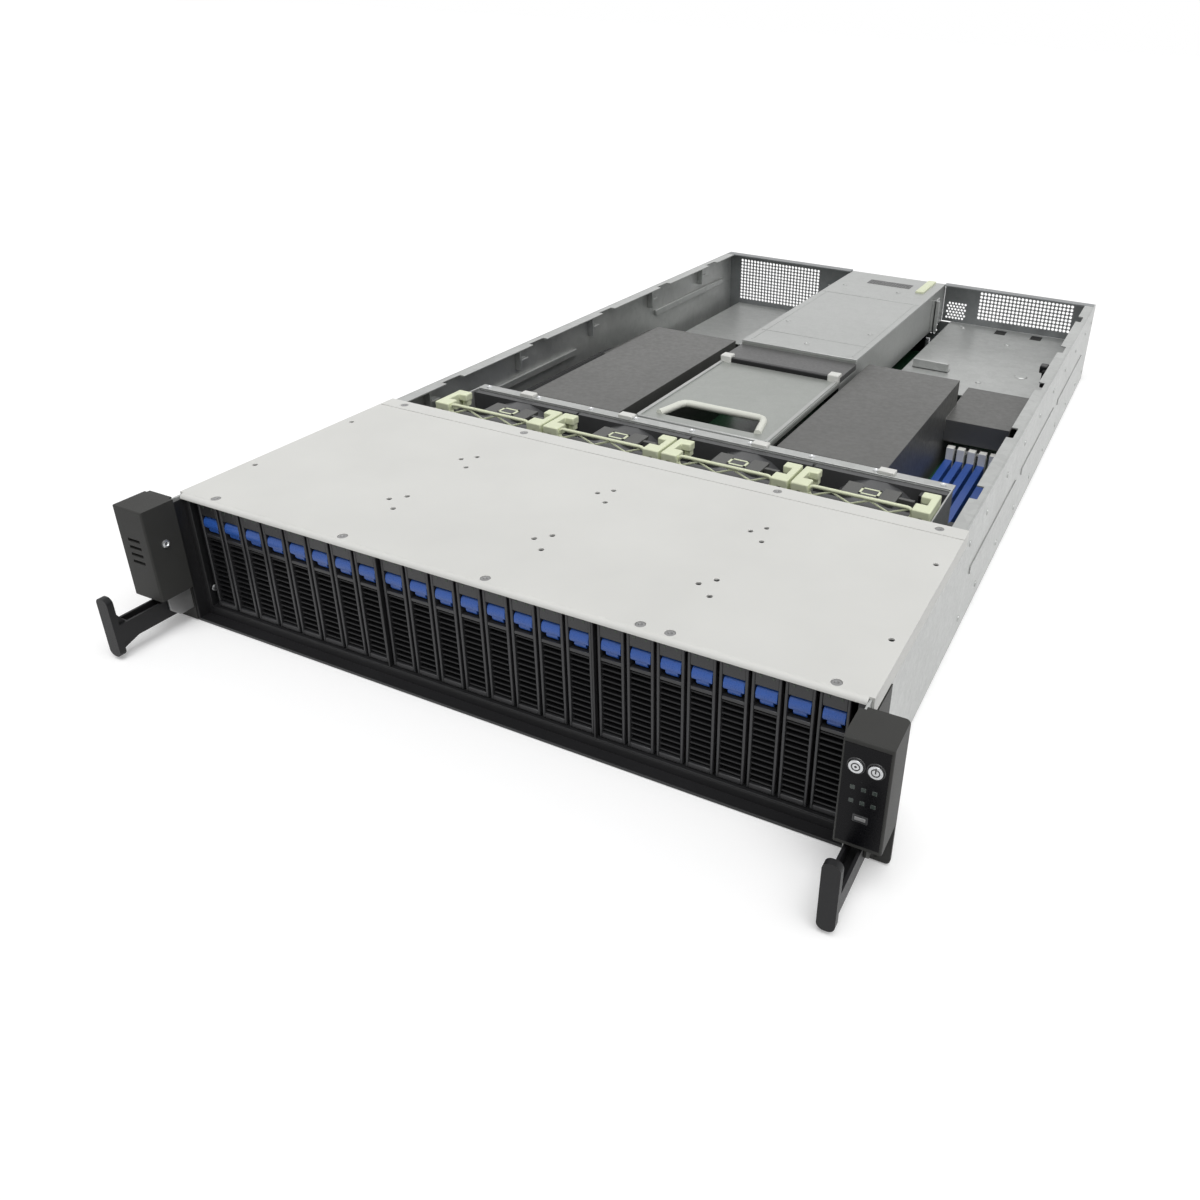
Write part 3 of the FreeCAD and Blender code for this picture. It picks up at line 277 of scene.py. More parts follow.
def field(x0, x1, z0, z1, pitch, radius, sides=6, stagger=0.5):
    """Holes that fill a rectangle: staggered hexagons, or a square grid without stagger."""
    rows = max(1, int((z1 - z0) / (pitch * 0.88)))
    columns = int((x1 - x0) / pitch)
    rise = (z1 - z0) / rows
    return [ring(x0 + pitch * (i + 0.5 + stagger * (j % 2)), z0 + (j + 0.5) * rise, radius, sides)
            for i in range(columns) for j in range(rows)]


def span(centre, half):
    return centre - half, centre + half


def mirrored(side, near, far, centre=0.0):
    """The stretch from near to far, on one side of a centre, lowest first."""
    return sorted((centre + side * near, centre + side * far))


def level(z):
    """Lays the flat (u, v, depth) of a plate down at a height."""
    return lambda u, v, depth: (u, v, z + depth)


def upright(y):
    """Stands the flat (u, v, depth) of a plate across the case."""
    return lambda u, v, depth: (u, y + depth, v)


# --- Mesh tools ---

class Form:
    """Closed solids gathered into one mesh, in millimetres."""

    def __init__(self):
        self.bm = bmesh.new()

    def prism(self, outline, sweep):
        """Solid on a flat outline, swept in a straight line."""
        return self.rings([outline, [Vector(p) + Vector(sweep) for p in outline]])

    def box(self, x0, x1, y0, y1, z0, z1):
        return self.prism([(x, y, z0) for x, y in oblong(x0, x1, y0, y1)], (0, 0, z1 - z0))

    def across(self, x0, x1, outline):
        """Solid on a (y, z) outline, from x0 to x1."""
        return self.prism([(x0, y, z) for y, z in outline], (x1 - x0, 0, 0))

    def rings(self, rings, closed=False):
        """Skin over matching rings of points, capped at both ends unless it closes on itself."""
        loops = [[self.bm.verts.new(p) for p in points] for points in rings]
        faces = []
        pairs = list(zip(loops, loops[1:]))
        if closed:
            pairs.append((loops[-1], loops[0]))
        for first, second in pairs:
            for i in range(len(first)):
                j = (i + 1) % len(first)
                faces.append(self.bm.faces.new((first[i], first[j], second[j], second[i])))
        if not closed:
            faces += [self.bm.faces.new(loops[0]), self.bm.faces.new(loops[-1])]
        bmesh.ops.recalc_face_normals(self.bm, faces=faces)
        return self

    def turned(self, place, axis, profile, sides=20):
        """Round solid from (distance along the axis, radius) pairs."""
        facing = Vector(axis).to_track_quat("Z", "Y")
        return self.rings([[Vector(place) + facing @ Vector((u, v, along)) for u, v in circle(radius, sides)]
                           for along, radius in profile])

    def heads(self, places, axis, profile, sides=18):
        """The same round solid at each place."""
        for place in places:
            self.turned(place, axis, profile, sides)
        return self

    def loop(self, place, axis, radius, bar, sides=32, sections=6):
        """Closed round hoop."""
        facing = Vector(axis).to_track_quat("Z", "Y")
        rings = []
        for x, y in circle(1.0, sides):
            out = Vector((x, y, 0))
            rings.append([Vector(place) + facing @ (out * (radius + u) + Vector((0, 0, v)))
                          for u, v in circle(bar, sections)])
        return self.rings(rings, closed=True)

    def path(self, points, radius, sections=8):
        """Bar along a line of points."""
        points = [Vector(p) for p in points]
        rings = []
        for i, point in enumerate(points):
            ahead = points[min(i + 1, len(points) - 1)] - points[max(i - 1, 0)]
            facing = ahead.to_track_quat("Z", "Y")
            rings.append([point + facing @ Vector((u, v, 0)) for u, v in circle(radius, sections, 0.5)])
        return self.rings(rings)

    def plate(self, outline, holes, place, thick):
        """Sheet with holes. place turns a flat (u, v, depth) into a point of the object."""
        points, edges = [], []
        for line in [outline] + list(holes):
            start = len(points)
            points += [Vector(p) for p in line]
            edges += [(start + i, start + (i + 1) % len(line)) for i in range(len(line))]
        flat, _, tris, *_ = delaunay_2d_cdt(points, edges, [], 1, 1e-5)
        inside = HoleTest(holes)
        sheet = bmesh.new()
        verts = [sheet.verts.new((p.x, p.y, 0)) for p in flat]
        for tri in tris:
            if not inside(sum((flat[i] for i in tri), Vector((0, 0))) / len(tri)):
                sheet.faces.new([verts[i] for i in tri])
        loose = [v for v in sheet.verts if not v.link_faces]
        bmesh.ops.delete(sheet, geom=loose, context="VERTS")
        bmesh.ops.dissolve_limit(sheet, angle_limit=0.01, verts=sheet.verts, edges=sheet.edges)
        top = bmesh.ops.extrude_face_region(sheet, geom=sheet.faces[:])["geom"]
        for vert in top:
            if isinstance(vert, bmesh.types.BMVert):
                vert.co.z += thick
        for vert in sheet.verts:
            vert.co = Vector(place(*vert.co))
        bmesh.ops.recalc_face_normals(sheet, faces=sheet.faces)
        mesh = bpy.data.meshes.new("sheet")
        sheet.to_mesh(mesh)
        sheet.free()
        self.bm.from_mesh(mesh)
        bpy.data.meshes.remove(mesh)
        return self

    def piece(self, name, body, look, bevel=0.0, node=None, segments=2, slot=None):
        mesh = bpy.data.meshes.new(name)
        bmesh.ops.scale(self.bm, vec=(MM, MM, MM), verts=self.bm.verts)
        self.bm.to_mesh(mesh)
        self.bm.free()
        return hung(mesh, name, body, look, bevel, node, segments)


class HoleTest:
    """Whether a flat point is inside one of many small holes, which are kept by square cells."""

    CELL = 10

    def __init__(self, holes):
        self.cells = {}
        for hole in holes:
            xs, ys = [p[0] for p in hole], [p[1] for p in hole]
            for i in range(self.cell(min(xs)), self.cell(max(xs)) + 1):
                for j in range(self.cell(min(ys)), self.cell(max(ys)) + 1):
                    self.cells.setdefault((i, j), []).append(hole)

    def cell(self, value):
        return math.floor(value / self.CELL)

    def __call__(self, point):
        for hole in self.cells.get((self.cell(point.x), self.cell(point.y)), ()):
            odd = False
            for (x0, y0), (x1, y1) in zip(hole, hole[1:] + hole[:1]):
                if (y0 > point.y) != (y1 > point.y):
                    if point.x < x0 + (point.y - y0) * (x1 - x0) / (y1 - y0):
                        odd = not odd
            if odd:
                return True
        return False


SHARP = math.radians(35)


def hung(mesh, name, body, look, bevel=0.0, node=None, segments=2):
    """Object for a mesh, with soft edges, a finish and the body that it rides on."""
    mesh.materials.append(look)
    for face in mesh.polygons:
        face.use_smooth = True
    mesh.set_sharp_from_angle(angle=SHARP)
    obj = bpy.data.objects.new(name, mesh)
    bpy.context.scene.collection.objects.link(obj)
    if bevel:
        edge = obj.modifiers.new("bevel", "BEVEL")
        edge.width = bevel * MM
        edge.segments = segments
        edge.limit_method = "ANGLE"
        edge.angle_limit = SHARP
    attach(obj, body)
    if node:
        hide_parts(node)
    return obj


def solids_of(node):
    """The solids of a CAD node, which lie in its mesh one after the other, with their boxes."""
    data = frame["nodes"][node].data
    keys = [tuple(round(c, 7) for c in v.co) for v in data.vertices]
    found, faces, open_edges = [], [], {}
    for face in data.polygons:
        corners = [keys[i] for i in face.vertices]
        faces.append(corners)
        for pair in zip(corners, corners[1:] + corners[:1]):
            back = (pair[1], pair[0])
            if open_edges.get(back):
                open_edges[back] -= 1
                if not open_edges[back]:
                    del open_edges[back]
            else:
                open_edges[pair] = open_edges.get(pair, 0) + 1
        if not open_edges:
            found.append(solid_mesh(faces))
            faces = []
    return found


def solid_mesh(faces):
    """Lowest and highest corners of a closed solid, and its mesh with flat facets joined."""
    part = bmesh.new()
    verts = {}
    for corners in faces:
        for key in corners:
            if key not in verts:
                verts[key] = part.verts.new(key)
        try:
            part.faces.new([verts[key] for key in corners])
        except ValueError:
            pass    # a sliver without area, or one that is there already
    bmesh.ops.dissolve_limit(part, angle_limit=0.01, verts=part.verts, edges=part.edges)
    low = Vector([min(v.co[k] for v in part.verts) for k in range(3)]) / MM
    high = Vector([max(v.co[k] for v in part.verts) for k in range(3)]) / MM
    return low, high, part


def dressed(node, body, look, bevel=0.3, sort=None, segments=2, slot=None):
    """The CAD node's own solids with soft edges. sort gives a solid's suffix, look and, if it isn't the
    usual one, slot, or None to leave the solid out. The slot, from sort or from the argument, is not used."""
    groups = {}
    for low, high, part in solids_of(node):
        key = sort(low, high) if sort else ("", look, slot)
        if key:
            mesh = bpy.data.meshes.new("part")
            part.to_mesh(mesh)
            if key[0] not in groups:
                groups[key[0]] = key, bmesh.new()
            groups[key[0]][1].from_mesh(mesh)
            bpy.data.meshes.remove(mesh)
        part.free()
    for suffix, (key, bm) in sorted(groups.items()):
        mesh = bpy.data.meshes.new(node + suffix)
        bm.to_mesh(mesh)
        bm.free()
        _, look, slot = (*key, None)[:3]
        hung(mesh, "body_" + node + suffix, body, look, bevel, node, segments)


# --- Drives ---

def wave(y0, z0, z1, count, depth, thick):
    """Outline in (y, z) of a corrugated sheet that leans back under each louvre."""
    pitch = (z1 - z0) / count
    front = []
    for i in range(count):
        z = z0 + i * pitch
        front += [(y0 + depth, z), (y0 + depth * 0.35, z + pitch * 0.30), (y0, z + pitch * 0.52),
                  (y0 + depth * 0.12, z + pitch * 0.66), (y0 + depth * 0.9, z + pitch * 0.74)]
    front.append((y0 + depth, z1))
    return front + [(y + thick, z) for y, z in reversed(front)]


def drive(number):
    """Carrier bezel with louvres, a blue latch under its hood, two lights and the sled behind."""
    node, body = f"drive_carrier_{number:02d}", f"drive_{number:02d}"
    (x0, y0, z0), (x1, y1, z1) = size(node)
    rim, lap = 1.7, 0.2
    inside = x0 + rim - lap, x1 - rim + lap
    back = y0 + 12
    shelf, pocket = z1 - 22.5, z1 - 9.6
    bezel = Form().box(x0, x0 + rim, y0, back, z0, z1).box(x1 - rim, x1, y0, back, z0, z1)
    for inset, low, high in ((0, z0, z0 + 3.2), (0.4, shelf - 2.2, shelf), (0.2, pocket, z1)):
        bezel.box(*inside, y0 + inset, back, low, high)
    bezel.piece("carrier_" + node, body, EDGE, 0.45, node)
    inner = Form().across(*inside, wave(y0 + 0.9, z0 + 3.0, shelf - 2.0, 13, 3.6, 0.8))
    inner.box(*inside, back - 1.2, back, z0 + 1, z1 - 1)
    inner.piece("louvres_" + node, body, BLACK, 0.0, node)
    sled = Form().box(x0 + 0.8, x1 - 0.8, back, y1, z0 + 2, z1 - 2)
    sled.box(x0 + 0.8, x1 - 0.8, back, back + 60, z0, z0 + 2)
    sled.piece("sled_" + node, body, BLACK_STEEL, 0.5, node, slot="black_plastic")
    mid = (x0 + x1) / 2
    half = (x1 - x0) / 2 - rim - 0.35
    low, high = shelf + 1.4, pocket - 1.6
    block = [(4.2, low + 3.4), (0.9, low + 3.0), (0.2, low + 4.4), (0.2, high - 3.2),
             (0.9, high - 1.2), (2.4, high), (4.6, high)]
    neck = [(4.2, low - 0.4), (2.4, low - 0.4), (1.4, low + 1.2), (1.2, low + 4.2), (4.2, low + 4.2)]
    roof = [(4.6, high + 0.3), (2.8, high + 0.4), (1.2, high + 1.2), (1.0, pocket + 0.4),
            (4.6, pocket + 0.4)]
    hood = Form().across(*span(mid, half), [(y0 + y, z) for y, z in roof])
    hood.piece("hood_" + node, body, BLACK, 0.2, node)
    tab = Form().across(*span(mid, half), [(y0 + y, z) for y, z in block])
    tab.across(*span(mid, half - 2.2), [(y0 + y, z) for y, z in neck])
    tab.piece("latch_" + node, body, BLUE, 0.3, node)
    lights = Form()
    for dx in (-3.4, 3.4):
        lights.box(*span(mid + dx, 0.8), y0, y0 + 1.5, z1 - 4.2, z1 - 2.6)
    lights.piece("lights_" + node, body, LENS, 0.2, node)


# --- Fans ---

GRIP_RISE = 5.5     # how far the grips stand above a fan's own top


def blade_set(x, y, z, hub, tip, depth, count, start_deg, end_deg):
    """Hub cap with twisted, swept blades."""
    form = Form().turned((x, y, z), REARWARD, [(0.6, 0.01), (0.2, hub - 3), (0.9, hub - 1), (2.2, hub),
                                               (depth, hub)], 36)
    steps, chord, half_thick = 6, 6, 0.55
    for index in range(count):
        rings = []
        for i in range(steps + 1):
            share = i / steps
            radius = hub - 0.6 + (tip - hub + 0.6) * share
            pitch = math.radians(start_deg + (end_deg - start_deg) * share)
            width = (depth * 0.8) / math.cos(pitch) * (0.9 + 0.25 * share)
            row = []
            for k in range(chord + 1):
                along = (k / chord - 0.5) * width
                camber = 1.6 * (1 - (2 * k / chord - 1) ** 2)
                axial = along * math.cos(pitch) + camber * math.sin(pitch)
                around = along * math.sin(pitch) - camber * math.cos(pitch)
                turn = 2 * math.pi * index / count + around / radius + 0.35 * share
                row.append((turn, y + depth / 2 + max(0.4 - depth / 2, min(depth / 2 - 0.4, axial))))
            faces = ((half_thick / radius, row), (-half_thick / radius, row[::-1]))
            rings.append([(x + radius * math.sin(turn + lift), v, z + radius * math.cos(turn + lift))
                          for lift, line in faces for turn, v in line])
        form.rings(rings)
    return form


def bail(node, body):
    """Lift-out handle: a rounded front rail with slanted ribs, and a hooked grip at each side."""
    (x0, y0, _), (x1, _, z1) = size(node)
    x, half = (x0 + x1) / 2, (x1 - x0) / 2
    top = z1 - GRIP_RISE
    rail_y = y0 + 4.6
    outline = rounded(*span(x, half - 12.5), top - 1.6, top + 6.2, 3.4)
    rail = Form().path([(u, rail_y, w) for u, w in outline + outline[:1]], 1.3, 10)
    ribs = 5
    pitch = 2 * (half - 15) / ribs
    for i in range(ribs):
        u = x - half + 15 + i * pitch
        ends = (top - 0.4, top + 5.0) if i % 2 == 0 else (top + 5.0, top - 0.4)
        rail.path([(u, rail_y, ends[0]), (u + pitch, rail_y, ends[1])], 0.8, 6)
    rail.box(*span(x, half - 14), y0 + 3.4, y0 + 6, top - 13, top - 0.4)
    rail.piece("rail_" + node, body, PALE, 0.25, node)
    hook = [(half - 12.5, y0 + 1), (half, y0 + 1), (half, y0 + 31), (half - 12, y0 + 31),
            (half - 12, y0 + 23), (half - 5, y0 + 23), (half - 5, y0 + 12), (half - 12.5, y0 + 12)]
    grips = Form()
    for side in (-1, 1):
        grips.prism([(x + side * u, v, top + 1.6) for u, v in hook], (0, 0, 5.8))
        for near, far, front, back, drop in (
                (12.5, 7, 1, 5, 12), (5, 0, 1, 31, 5), (11.5, 6.5, 24.5, 30, 3)):
            across = mirrored(side, half - near, half - far, x)
            grips.box(*across, y0 + front, y0 + back, top - drop, top + 3)
    grips.piece("grips_" + node, body, PALE, 0.9, node, 3)


def fan(number):
    """Fan module: its frame, handle, grille hoops, a plain mark on top, a plug and the blades."""
    node, rotor, body = f"fan_module_{number}", f"fan_rotor_{number}", f"fan_{number}"
    (_, y0, _), (_, y1, z1) = size(node)
    (a0, b0, _), (a1, b1, _) = size(rotor)
    mx, mz = middle(node)[0], middle(rotor)[2]
    top = z1 - GRIP_RISE
    dressed(node, body, FAN_GREY, 0.5,
            lambda low, high: None if high[2] > z1 - 1 else ("_frame", FAN_GREY))
    bail(node, body)
    hoops = Form()
    for i in range(4):
        hoops.loop((mx, y0 + 15 + 6.5 * i, mz), REARWARD, 37.2, 0.55, 48)
    hoops.box(*span(mx, 19), y0 + 17, y0 + 40, top - 3.4, top - 0.9)
    hoops.box(mx - 30, mx - 19, y0 + 20, y0 + 23, top - 9, top - 1.5)
    hoops.box(mx + 19, mx + 30, y0 + 30, y0 + 33, top - 9, top - 1.5)
    hoops.piece("hoops_" + node, body, FAN_TOP, 0.5)
    mark = Form()
    bar, front, back = 1.6, y0 + 23, y0 + 33
    for x in (mx - 7, mx + 7 - bar):
        mark.box(x, x + bar, front, back, top - 1.0, top - 0.2)
    for y in (front, back - bar):
        mark.box(*span(mx, 7), y, y + bar, top - 1.0, top - 0.2)
    mark.piece("mark_" + node, body, PALE)
    plug = Form().box(mx + 30, mx + 40, y1 - 15, y1 - 5, top - 6, top - 0.8)
    plug.piece("plug_" + node, body, BLACK, 0.4)
    blades = blade_set(mx, b0, mz, 17.0, (a1 - a0) / 2 - 0.6, b1 - b0, 7, 52, 38)
    blades.piece("blades_" + rotor, body + "_rotor", BLACK, 0.0, rotor)


# --- Riser ---

def riser():
    """Riser unit: tray with a rimmed hand hole, dark step, and lid with folds, vent and handle."""
    (x0, y0, _), (x1, y1, z1) = size("riser_unit")
    mid = (x0 + x1) / 2
    tray, tray_end, step = z1 - 6.8, y0 + 224, y0 + 160

    def sort(low, high):
        if tray + 0.8 < high[2] < z1 - 3 and high[1] < tray_end and high[0] - low[0] > 100:
            return ("_step", STEP)
        if low[1] > y1 - 2:
            return None
        if high[1] < tray_end:
            return ("_tray", TRAY)
        if low[2] < 30:
            return ("_boards", BOARD)
        return ("_lid", LID)

    dressed("riser_unit", "riser", LID, 0.4, sort)
    near, far = y0 + 15, y0 + 45
    bend = [(42, near), (39.5, near + 10), (36.6, far - 6), (34, far - 1.5), (30, far)]
    outline = [(mid - u, v) for u, v in bend] + [(mid, far)] + [(mid + u, v) for u, v in bend[::-1]]
    rim = Form().path([(x, y, tray) for x, y in outline], 3.0, 12)
    rim.piece("hand_rim", "riser", PALE_RIM)
    rails = Form().path([(x, y0 + 1.5, tray + 0.2) for x in (x0 + 3, mid, x1 - 3)], 1.3)
    for x in (x0 + 1, x1 - 4):
        rails.box(x, x + 3, y0 + 3, step - 2, tray - 0.6, tray + 1.0)
    rails.piece("tray_rails", "riser", LID, 0.5)
    blocks = Form()
    for x in (x0 + 0.5, x1 - 10.5):
        blocks.box(x, x + 10, *span(step, 5), tray - 1.7, tray + 5.8)
    blocks.piece("step_blocks", "riser", BLOCK, 1.0, segments=3)
    nose = Form().box(x0 + 9, x1 - 9, step - 3.5, step + 1.5, tray - 3.7, tray + 3.8)
    nose.piece("step_nose", "riser", BLACK, 0.8)
    folds = Form()
    for y, thick in ((y1 - 280, 1.2), (y1 - 110, 1.0)):
        folds.box(x0 + 2, x1 - 2, y, y + thick, z1 - 0.1, z1 + 0.3)
    for x in (x0 + 6, x1 - 7.2):
        folds.box(x, x + 1.2, y1 - 314, y1 - 110, z1 - 0.1, z1 + 0.3)
    screws = ((x0 + 14, 240), (x1 - 14, 240), (x0 + 14, 70), (mid + 20, 70), (mid, 300))
    folds.heads([(x, y1 - y, z1 - 0.2) for x, y in screws], UP,
                [(0, 2.8), (0.9, 2.5), (1.1, 1.6), (0.6, 1.2)], 20)
    folds.piece("lid_folds", "riser", LID, 0.15)
    holes = [ring(mid - 22 + 3.2 * i, y1 - 46 + 2.8 * j, 1.1, 6) for i in range(15) for j in range(6)]
    vent = Form().plate(oblong(mid - 24, mid + 26, y1 - 48, y1 - 30), holes, level(z1 - 0.05), 0.25)
    vent.piece("lid_vent", "riser", EDGE)
    strip = Form().box(x1 - 20, x1 - 11, y1 - 60, y1 - 4, z1 - 0.1, z1 + 2.0)
    strip.box(x1 - 18.5, x1 - 12.5, y1 - 56, y1 - 8, z1 + 1.8, z1 + 2.3)
    strip.piece("lid_handle", "riser", PALE, 0.6, segments=3)
    slot_covers(x0, x1, z1 - 42.8, z1 - 4.0)


def slot_covers(x0, x1, low, high):
    """Two perforated slot blanks in their frame at the rear of the riser."""
    slots = [(low + 3.5, low + 17.5), (low + 21.5, low + 35.5)]
    form = Form()
    for z0, z1 in slots:
        holes = [ring(x0 + 12 + 4.1 * i + 2.05 * (j % 2), z0 + 3.4 + 3.6 * j, 1.55, 6)
                 for i in range(22) for j in range(3)]
        form.plate(oblong(x0 + 6.4, x1 - 6.4, z0 + 0.4, z1 - 0.4), holes, upright(PANEL_FRONT + 0.2), 0.8)
    form.plate(oblong(x0, x1, low, high), [oblong(x0 + 6, x1 - 6, z0, z1) for z0, z1 in slots],
               upright(PANEL_FRONT), SHEET)
    form.piece("slot_covers", "riser", REAR, 0.12, "riser_unit")


# --- Case ---

def cover():
    """Front cover: rolled edge, hem, countersunk screws and small dimple groups, with a flat black disc of
    painted shade under each dimple hole.
    """
    (x0, y0, z0), (x1, y1, z1) = size("front_cover")
    inner, bend, split = x1 - 2.7, 3.0, y1 - 14
    arc = []
    for radius, order in ((bend, range(0, 91, 15)), (bend - SHEET, range(90, -1, -15))):
        for turn in map(math.radians, order):
            arc.append((y0 + bend - radius * math.cos(turn), z1 - bend + radius * math.sin(turn)))
    front_screws = [(x, y0 + 6.5) for x in (-196, -97, 2, 97, 114, 202)]
    rear_screws = [(x, y1 - 6.5) for x in (-205, -98, 98, 205)]
    dimples = [(x, y) for x in (214.5, -214.5) for y in (57, 143)]
    for x in (-102, 4, 110):
        for y in (60, 129):
            dimples += [(x - 5, y), (x + 2, y + 8), (x + 6, y - 9)]
    front_holes = [ring(x, y, 2.9, 20) for x, y in front_screws] + [ring(x, y, 1.7) for x, y in dimples]
    rear_holes = [ring(x, y, 2.9, 20) for x, y in rear_screws]
    form = Form().across(-inner, inner, arc)
    form.plate(oblong(x0, x1, y0 + bend, split), front_holes, level(z1 - SHEET), SHEET)
    form.plate(oblong(x0, x1, split + 0.8, y1), rear_holes, level(z1 - SHEET), SHEET)
    form.box(-inner, inner, split - 2, split + 3, z1 - 1.1, z1 - 0.6)
    for x in (x0, x1 - SHEET):
        form.box(x, x + SHEET, y0 + bend, y1, z0, z1 - 1.0)
    form.piece("cover_sheet", "chassis", COVER, 0.12, "front_cover")
    screws = Form().heads([(x, y, z1 - 1.3) for x, y in front_screws + rear_screws], UP,
                          [(0, 2.7), (1.0, 2.7), (1.15, 2.3), (1.15, 1.3), (0.5, 0.9)], 20)
    screws.piece("cover_screws", "chassis", CHEEK, slot="cover_steel")
    # A flat black disc under each dimple hole is painted shade for the hollow.
    dimple_shade = Form().heads([(x, y, z1 - 1.5) for x, y in dimples], UP, [(0, 1.9), (0.5, 1.9)], 12)
    dimple_shade.piece("cover_dimple_shade", "chassis", HOLE_SHADE)


def ears_trim():
    """Panel, lights, socket and button marks of the right ear, and the screws of both ears."""
    (x0, face, _), (x1, _, z1) = size("right_ear")
    mid, socket_z = (x0 + x1) / 2, z1 - 43.3
    lights = Form()
    for dx in (-5.2, 0, 5.2):
        for drop in (26.3, 34.0):
            lights.box(*span(mid + dx, 1.2), face - 0.35, face + 0.2, *span(z1 - drop, 1.2))
    lights.piece("ear_lights", "chassis", DIM, 0.3)
    slot = Form().box(*span(mid, 3.8), face - 0.3, face + 0.5, *span(socket_z, 2.3))
    slot.piece("ear_socket_frame", "chassis", EDGE, 0.6)
    tongue = Form().box(*span(mid, 2.6), face - 0.4, face, *span(socket_z, 1.0))
    tongue.piece("ear_socket", "chassis", CHEEK, 0.2, slot="port_metal")
    buttons = [middle(node) for node in ("id_button", "power_button")]
    rings = Form()
    for x, _, z in buttons:
        rings.loop((x, face - 0.1, z), REARWARD, 4.1, 0.4)
    rings.piece("button_rings", "chassis", EDGE)
    for name, side in (("left", -1), ("right", 1)):
        screws = Form().turned((side * (x0 + 0.1), face + 11, z1 - 25), (-side, 0, 0),
                               [(0, 2.6), (1.0, 2.4), (1.3, 1.4), (0.7, 1.0)], 18)
        screws.turned((side * (x0 - 3.5), face + 34, z1 - 67), (-side, 0, 0),
                      [(0, 2.4), (0.8, 2.2), (1.0, 1.2)], 18)
        screws.piece(f"ear_screws_{name}", "chassis", SILVER, slot="zinc_steel")
    panel = Form().plate(oblong(x0 + 1.2, x1 - 1.4, z1 - 59, z1 - 2.5),
                         [ring(x, z, 4.5, 28) for x, _, z in buttons], upright(face - 0.2), 0.2)
    panel.piece("ear_panel", "chassis", PANEL)
    for name in ("power", "id"):
        node = name + "_button"
        x, _, z = middle(node)
        y0 = size(node)[0][1]
        icon = Form().loop((x, y0 - 0.02, z), REARWARD, 1.9, 0.3, 28)
        if name == "power":
            icon.box(*span(x, 0.3), y0 - 0.15, y0 + 0.1, z - 0.4, z + 2.6)
        else:
            icon.turned((x, y0 + 0.1, z), (0, -1, 0), [(0, 0.7), (0.2, 0.6)], 12)
        icon.piece("icon_" + node, "button_" + name, EDGE)


def front_frame():
    """Black trim on the front edges of the floor and side walls, and beside the drive cage."""
    (x0, y0, z0), (x1, _, _) = size("chassis_base")
    (_, cage_front, _), (cage_side, _, cage_top) = size("drive_cage")
    front, lip, sill, top = y0 - 0.35, SHEET + 0.5, z0 + 1.4, cage_top - 1
    trim = Form().box(x0 + SHEET, x1 - SHEET, front, cage_front + 0.2, z0 + SHEET, z0 + lip)
    trim.box(x0, x1, front, y0, z0, sill)
    for side in (-1, 1):
        trim.box(*mirrored(side, x1 - lip, x1 - SHEET), y0, cage_front + 40, z0 + lip, top)
        trim.box(*mirrored(side, x1 - lip, x1), front, y0, sill, top)
        beside = mirrored(side, cage_side - 0.2, x1 - lip)
        trim.box(*beside, cage_front - 0.2, cage_front + 0.8, z0 + lip, top)
    trim.piece("front_frame", "chassis", BLACK_STEEL, 0.1)


def walls():
    """Rivets, embossed ridges and hooks of the side walls, and the catches beside cover and duct."""
    rivets, ridges, hooks = Form(), Form(), Form()
    for side in (-1, 1):
        spots = [(side * (WALL - 0.2), y, z) for y in (212, *range(262, 739, 68), 786) for z in (14, 70)]
        rivets.heads(spots, (side, 0, 0), [(0, 2.4), (0.7, 2.2), (1.1, 1.2)], 16)
        for y0, y1 in ((226, 380), (404, 560), (584, 740)):
            ridges.box(*mirrored(side, WALL - 0.1, WALL + 0.9), y0, y1, 40, 46)
        for y0, y1 in ((300, 440), (600, 770)):
            ridges.box(*mirrored(side, WALL - 4.3, WALL - 1.3), y0, y1, 54, 60)
        inward = mirrored(side, WALL - 7.4, WALL - SHEET)
        for y in range(225, 706, 120):
            hooks.box(*inward, y, y + 2.2, 66, 85).box(*inward, y + 2.2, y + 12, 74, 76)
    rivets.piece("wall_rivets", "chassis", ZINC)
    ridges.piece("wall_ridges", "chassis", ZINC, 0.9)
    hooks.piece("wall_hooks", "chassis", ZINC, 0.4)
    duct_end = size("right_air_duct")[1][1]
    cover_end = size("front_cover")[1][1]
    catch = Form().box(206, 217, duct_end - 7.5, duct_end + 10.5, 66, 82)
    catch.box(203, 210, duct_end - 3.5, duct_end + 6.5, 78, 85)
    catch.box(207, 212, cover_end + 2.5, cover_end + 10, 80, 86)
    catch.piece("wing_catch", "chassis", BLACK, 1.0)


# --- Rear ---

# Ports of the rear panel: middle x and z, width and height. In order they are a data plug,
# a display socket, a network socket over two small ones, and two more network sockets.
PORTS = [(34.0, 14.5, 17.0, 9.0), (0.0, 15.5, 31.0, 12.0), (-37.0, 31.0, 16.0, 13.0),
         (-37.0, 20.5, 14.5, 6.0), (-37.0, 12.6, 14.5, 6.0), (-60.0, 31.0, 16.0, 13.0),
         (-60.0, 16.0, 16.0, 13.0)]
HEXAGONS = (3.7, 1.5)           # pitch and radius
SQUARES = (4.2, 1.75, 8, 0)     # pitch, radius, sides and no stagger


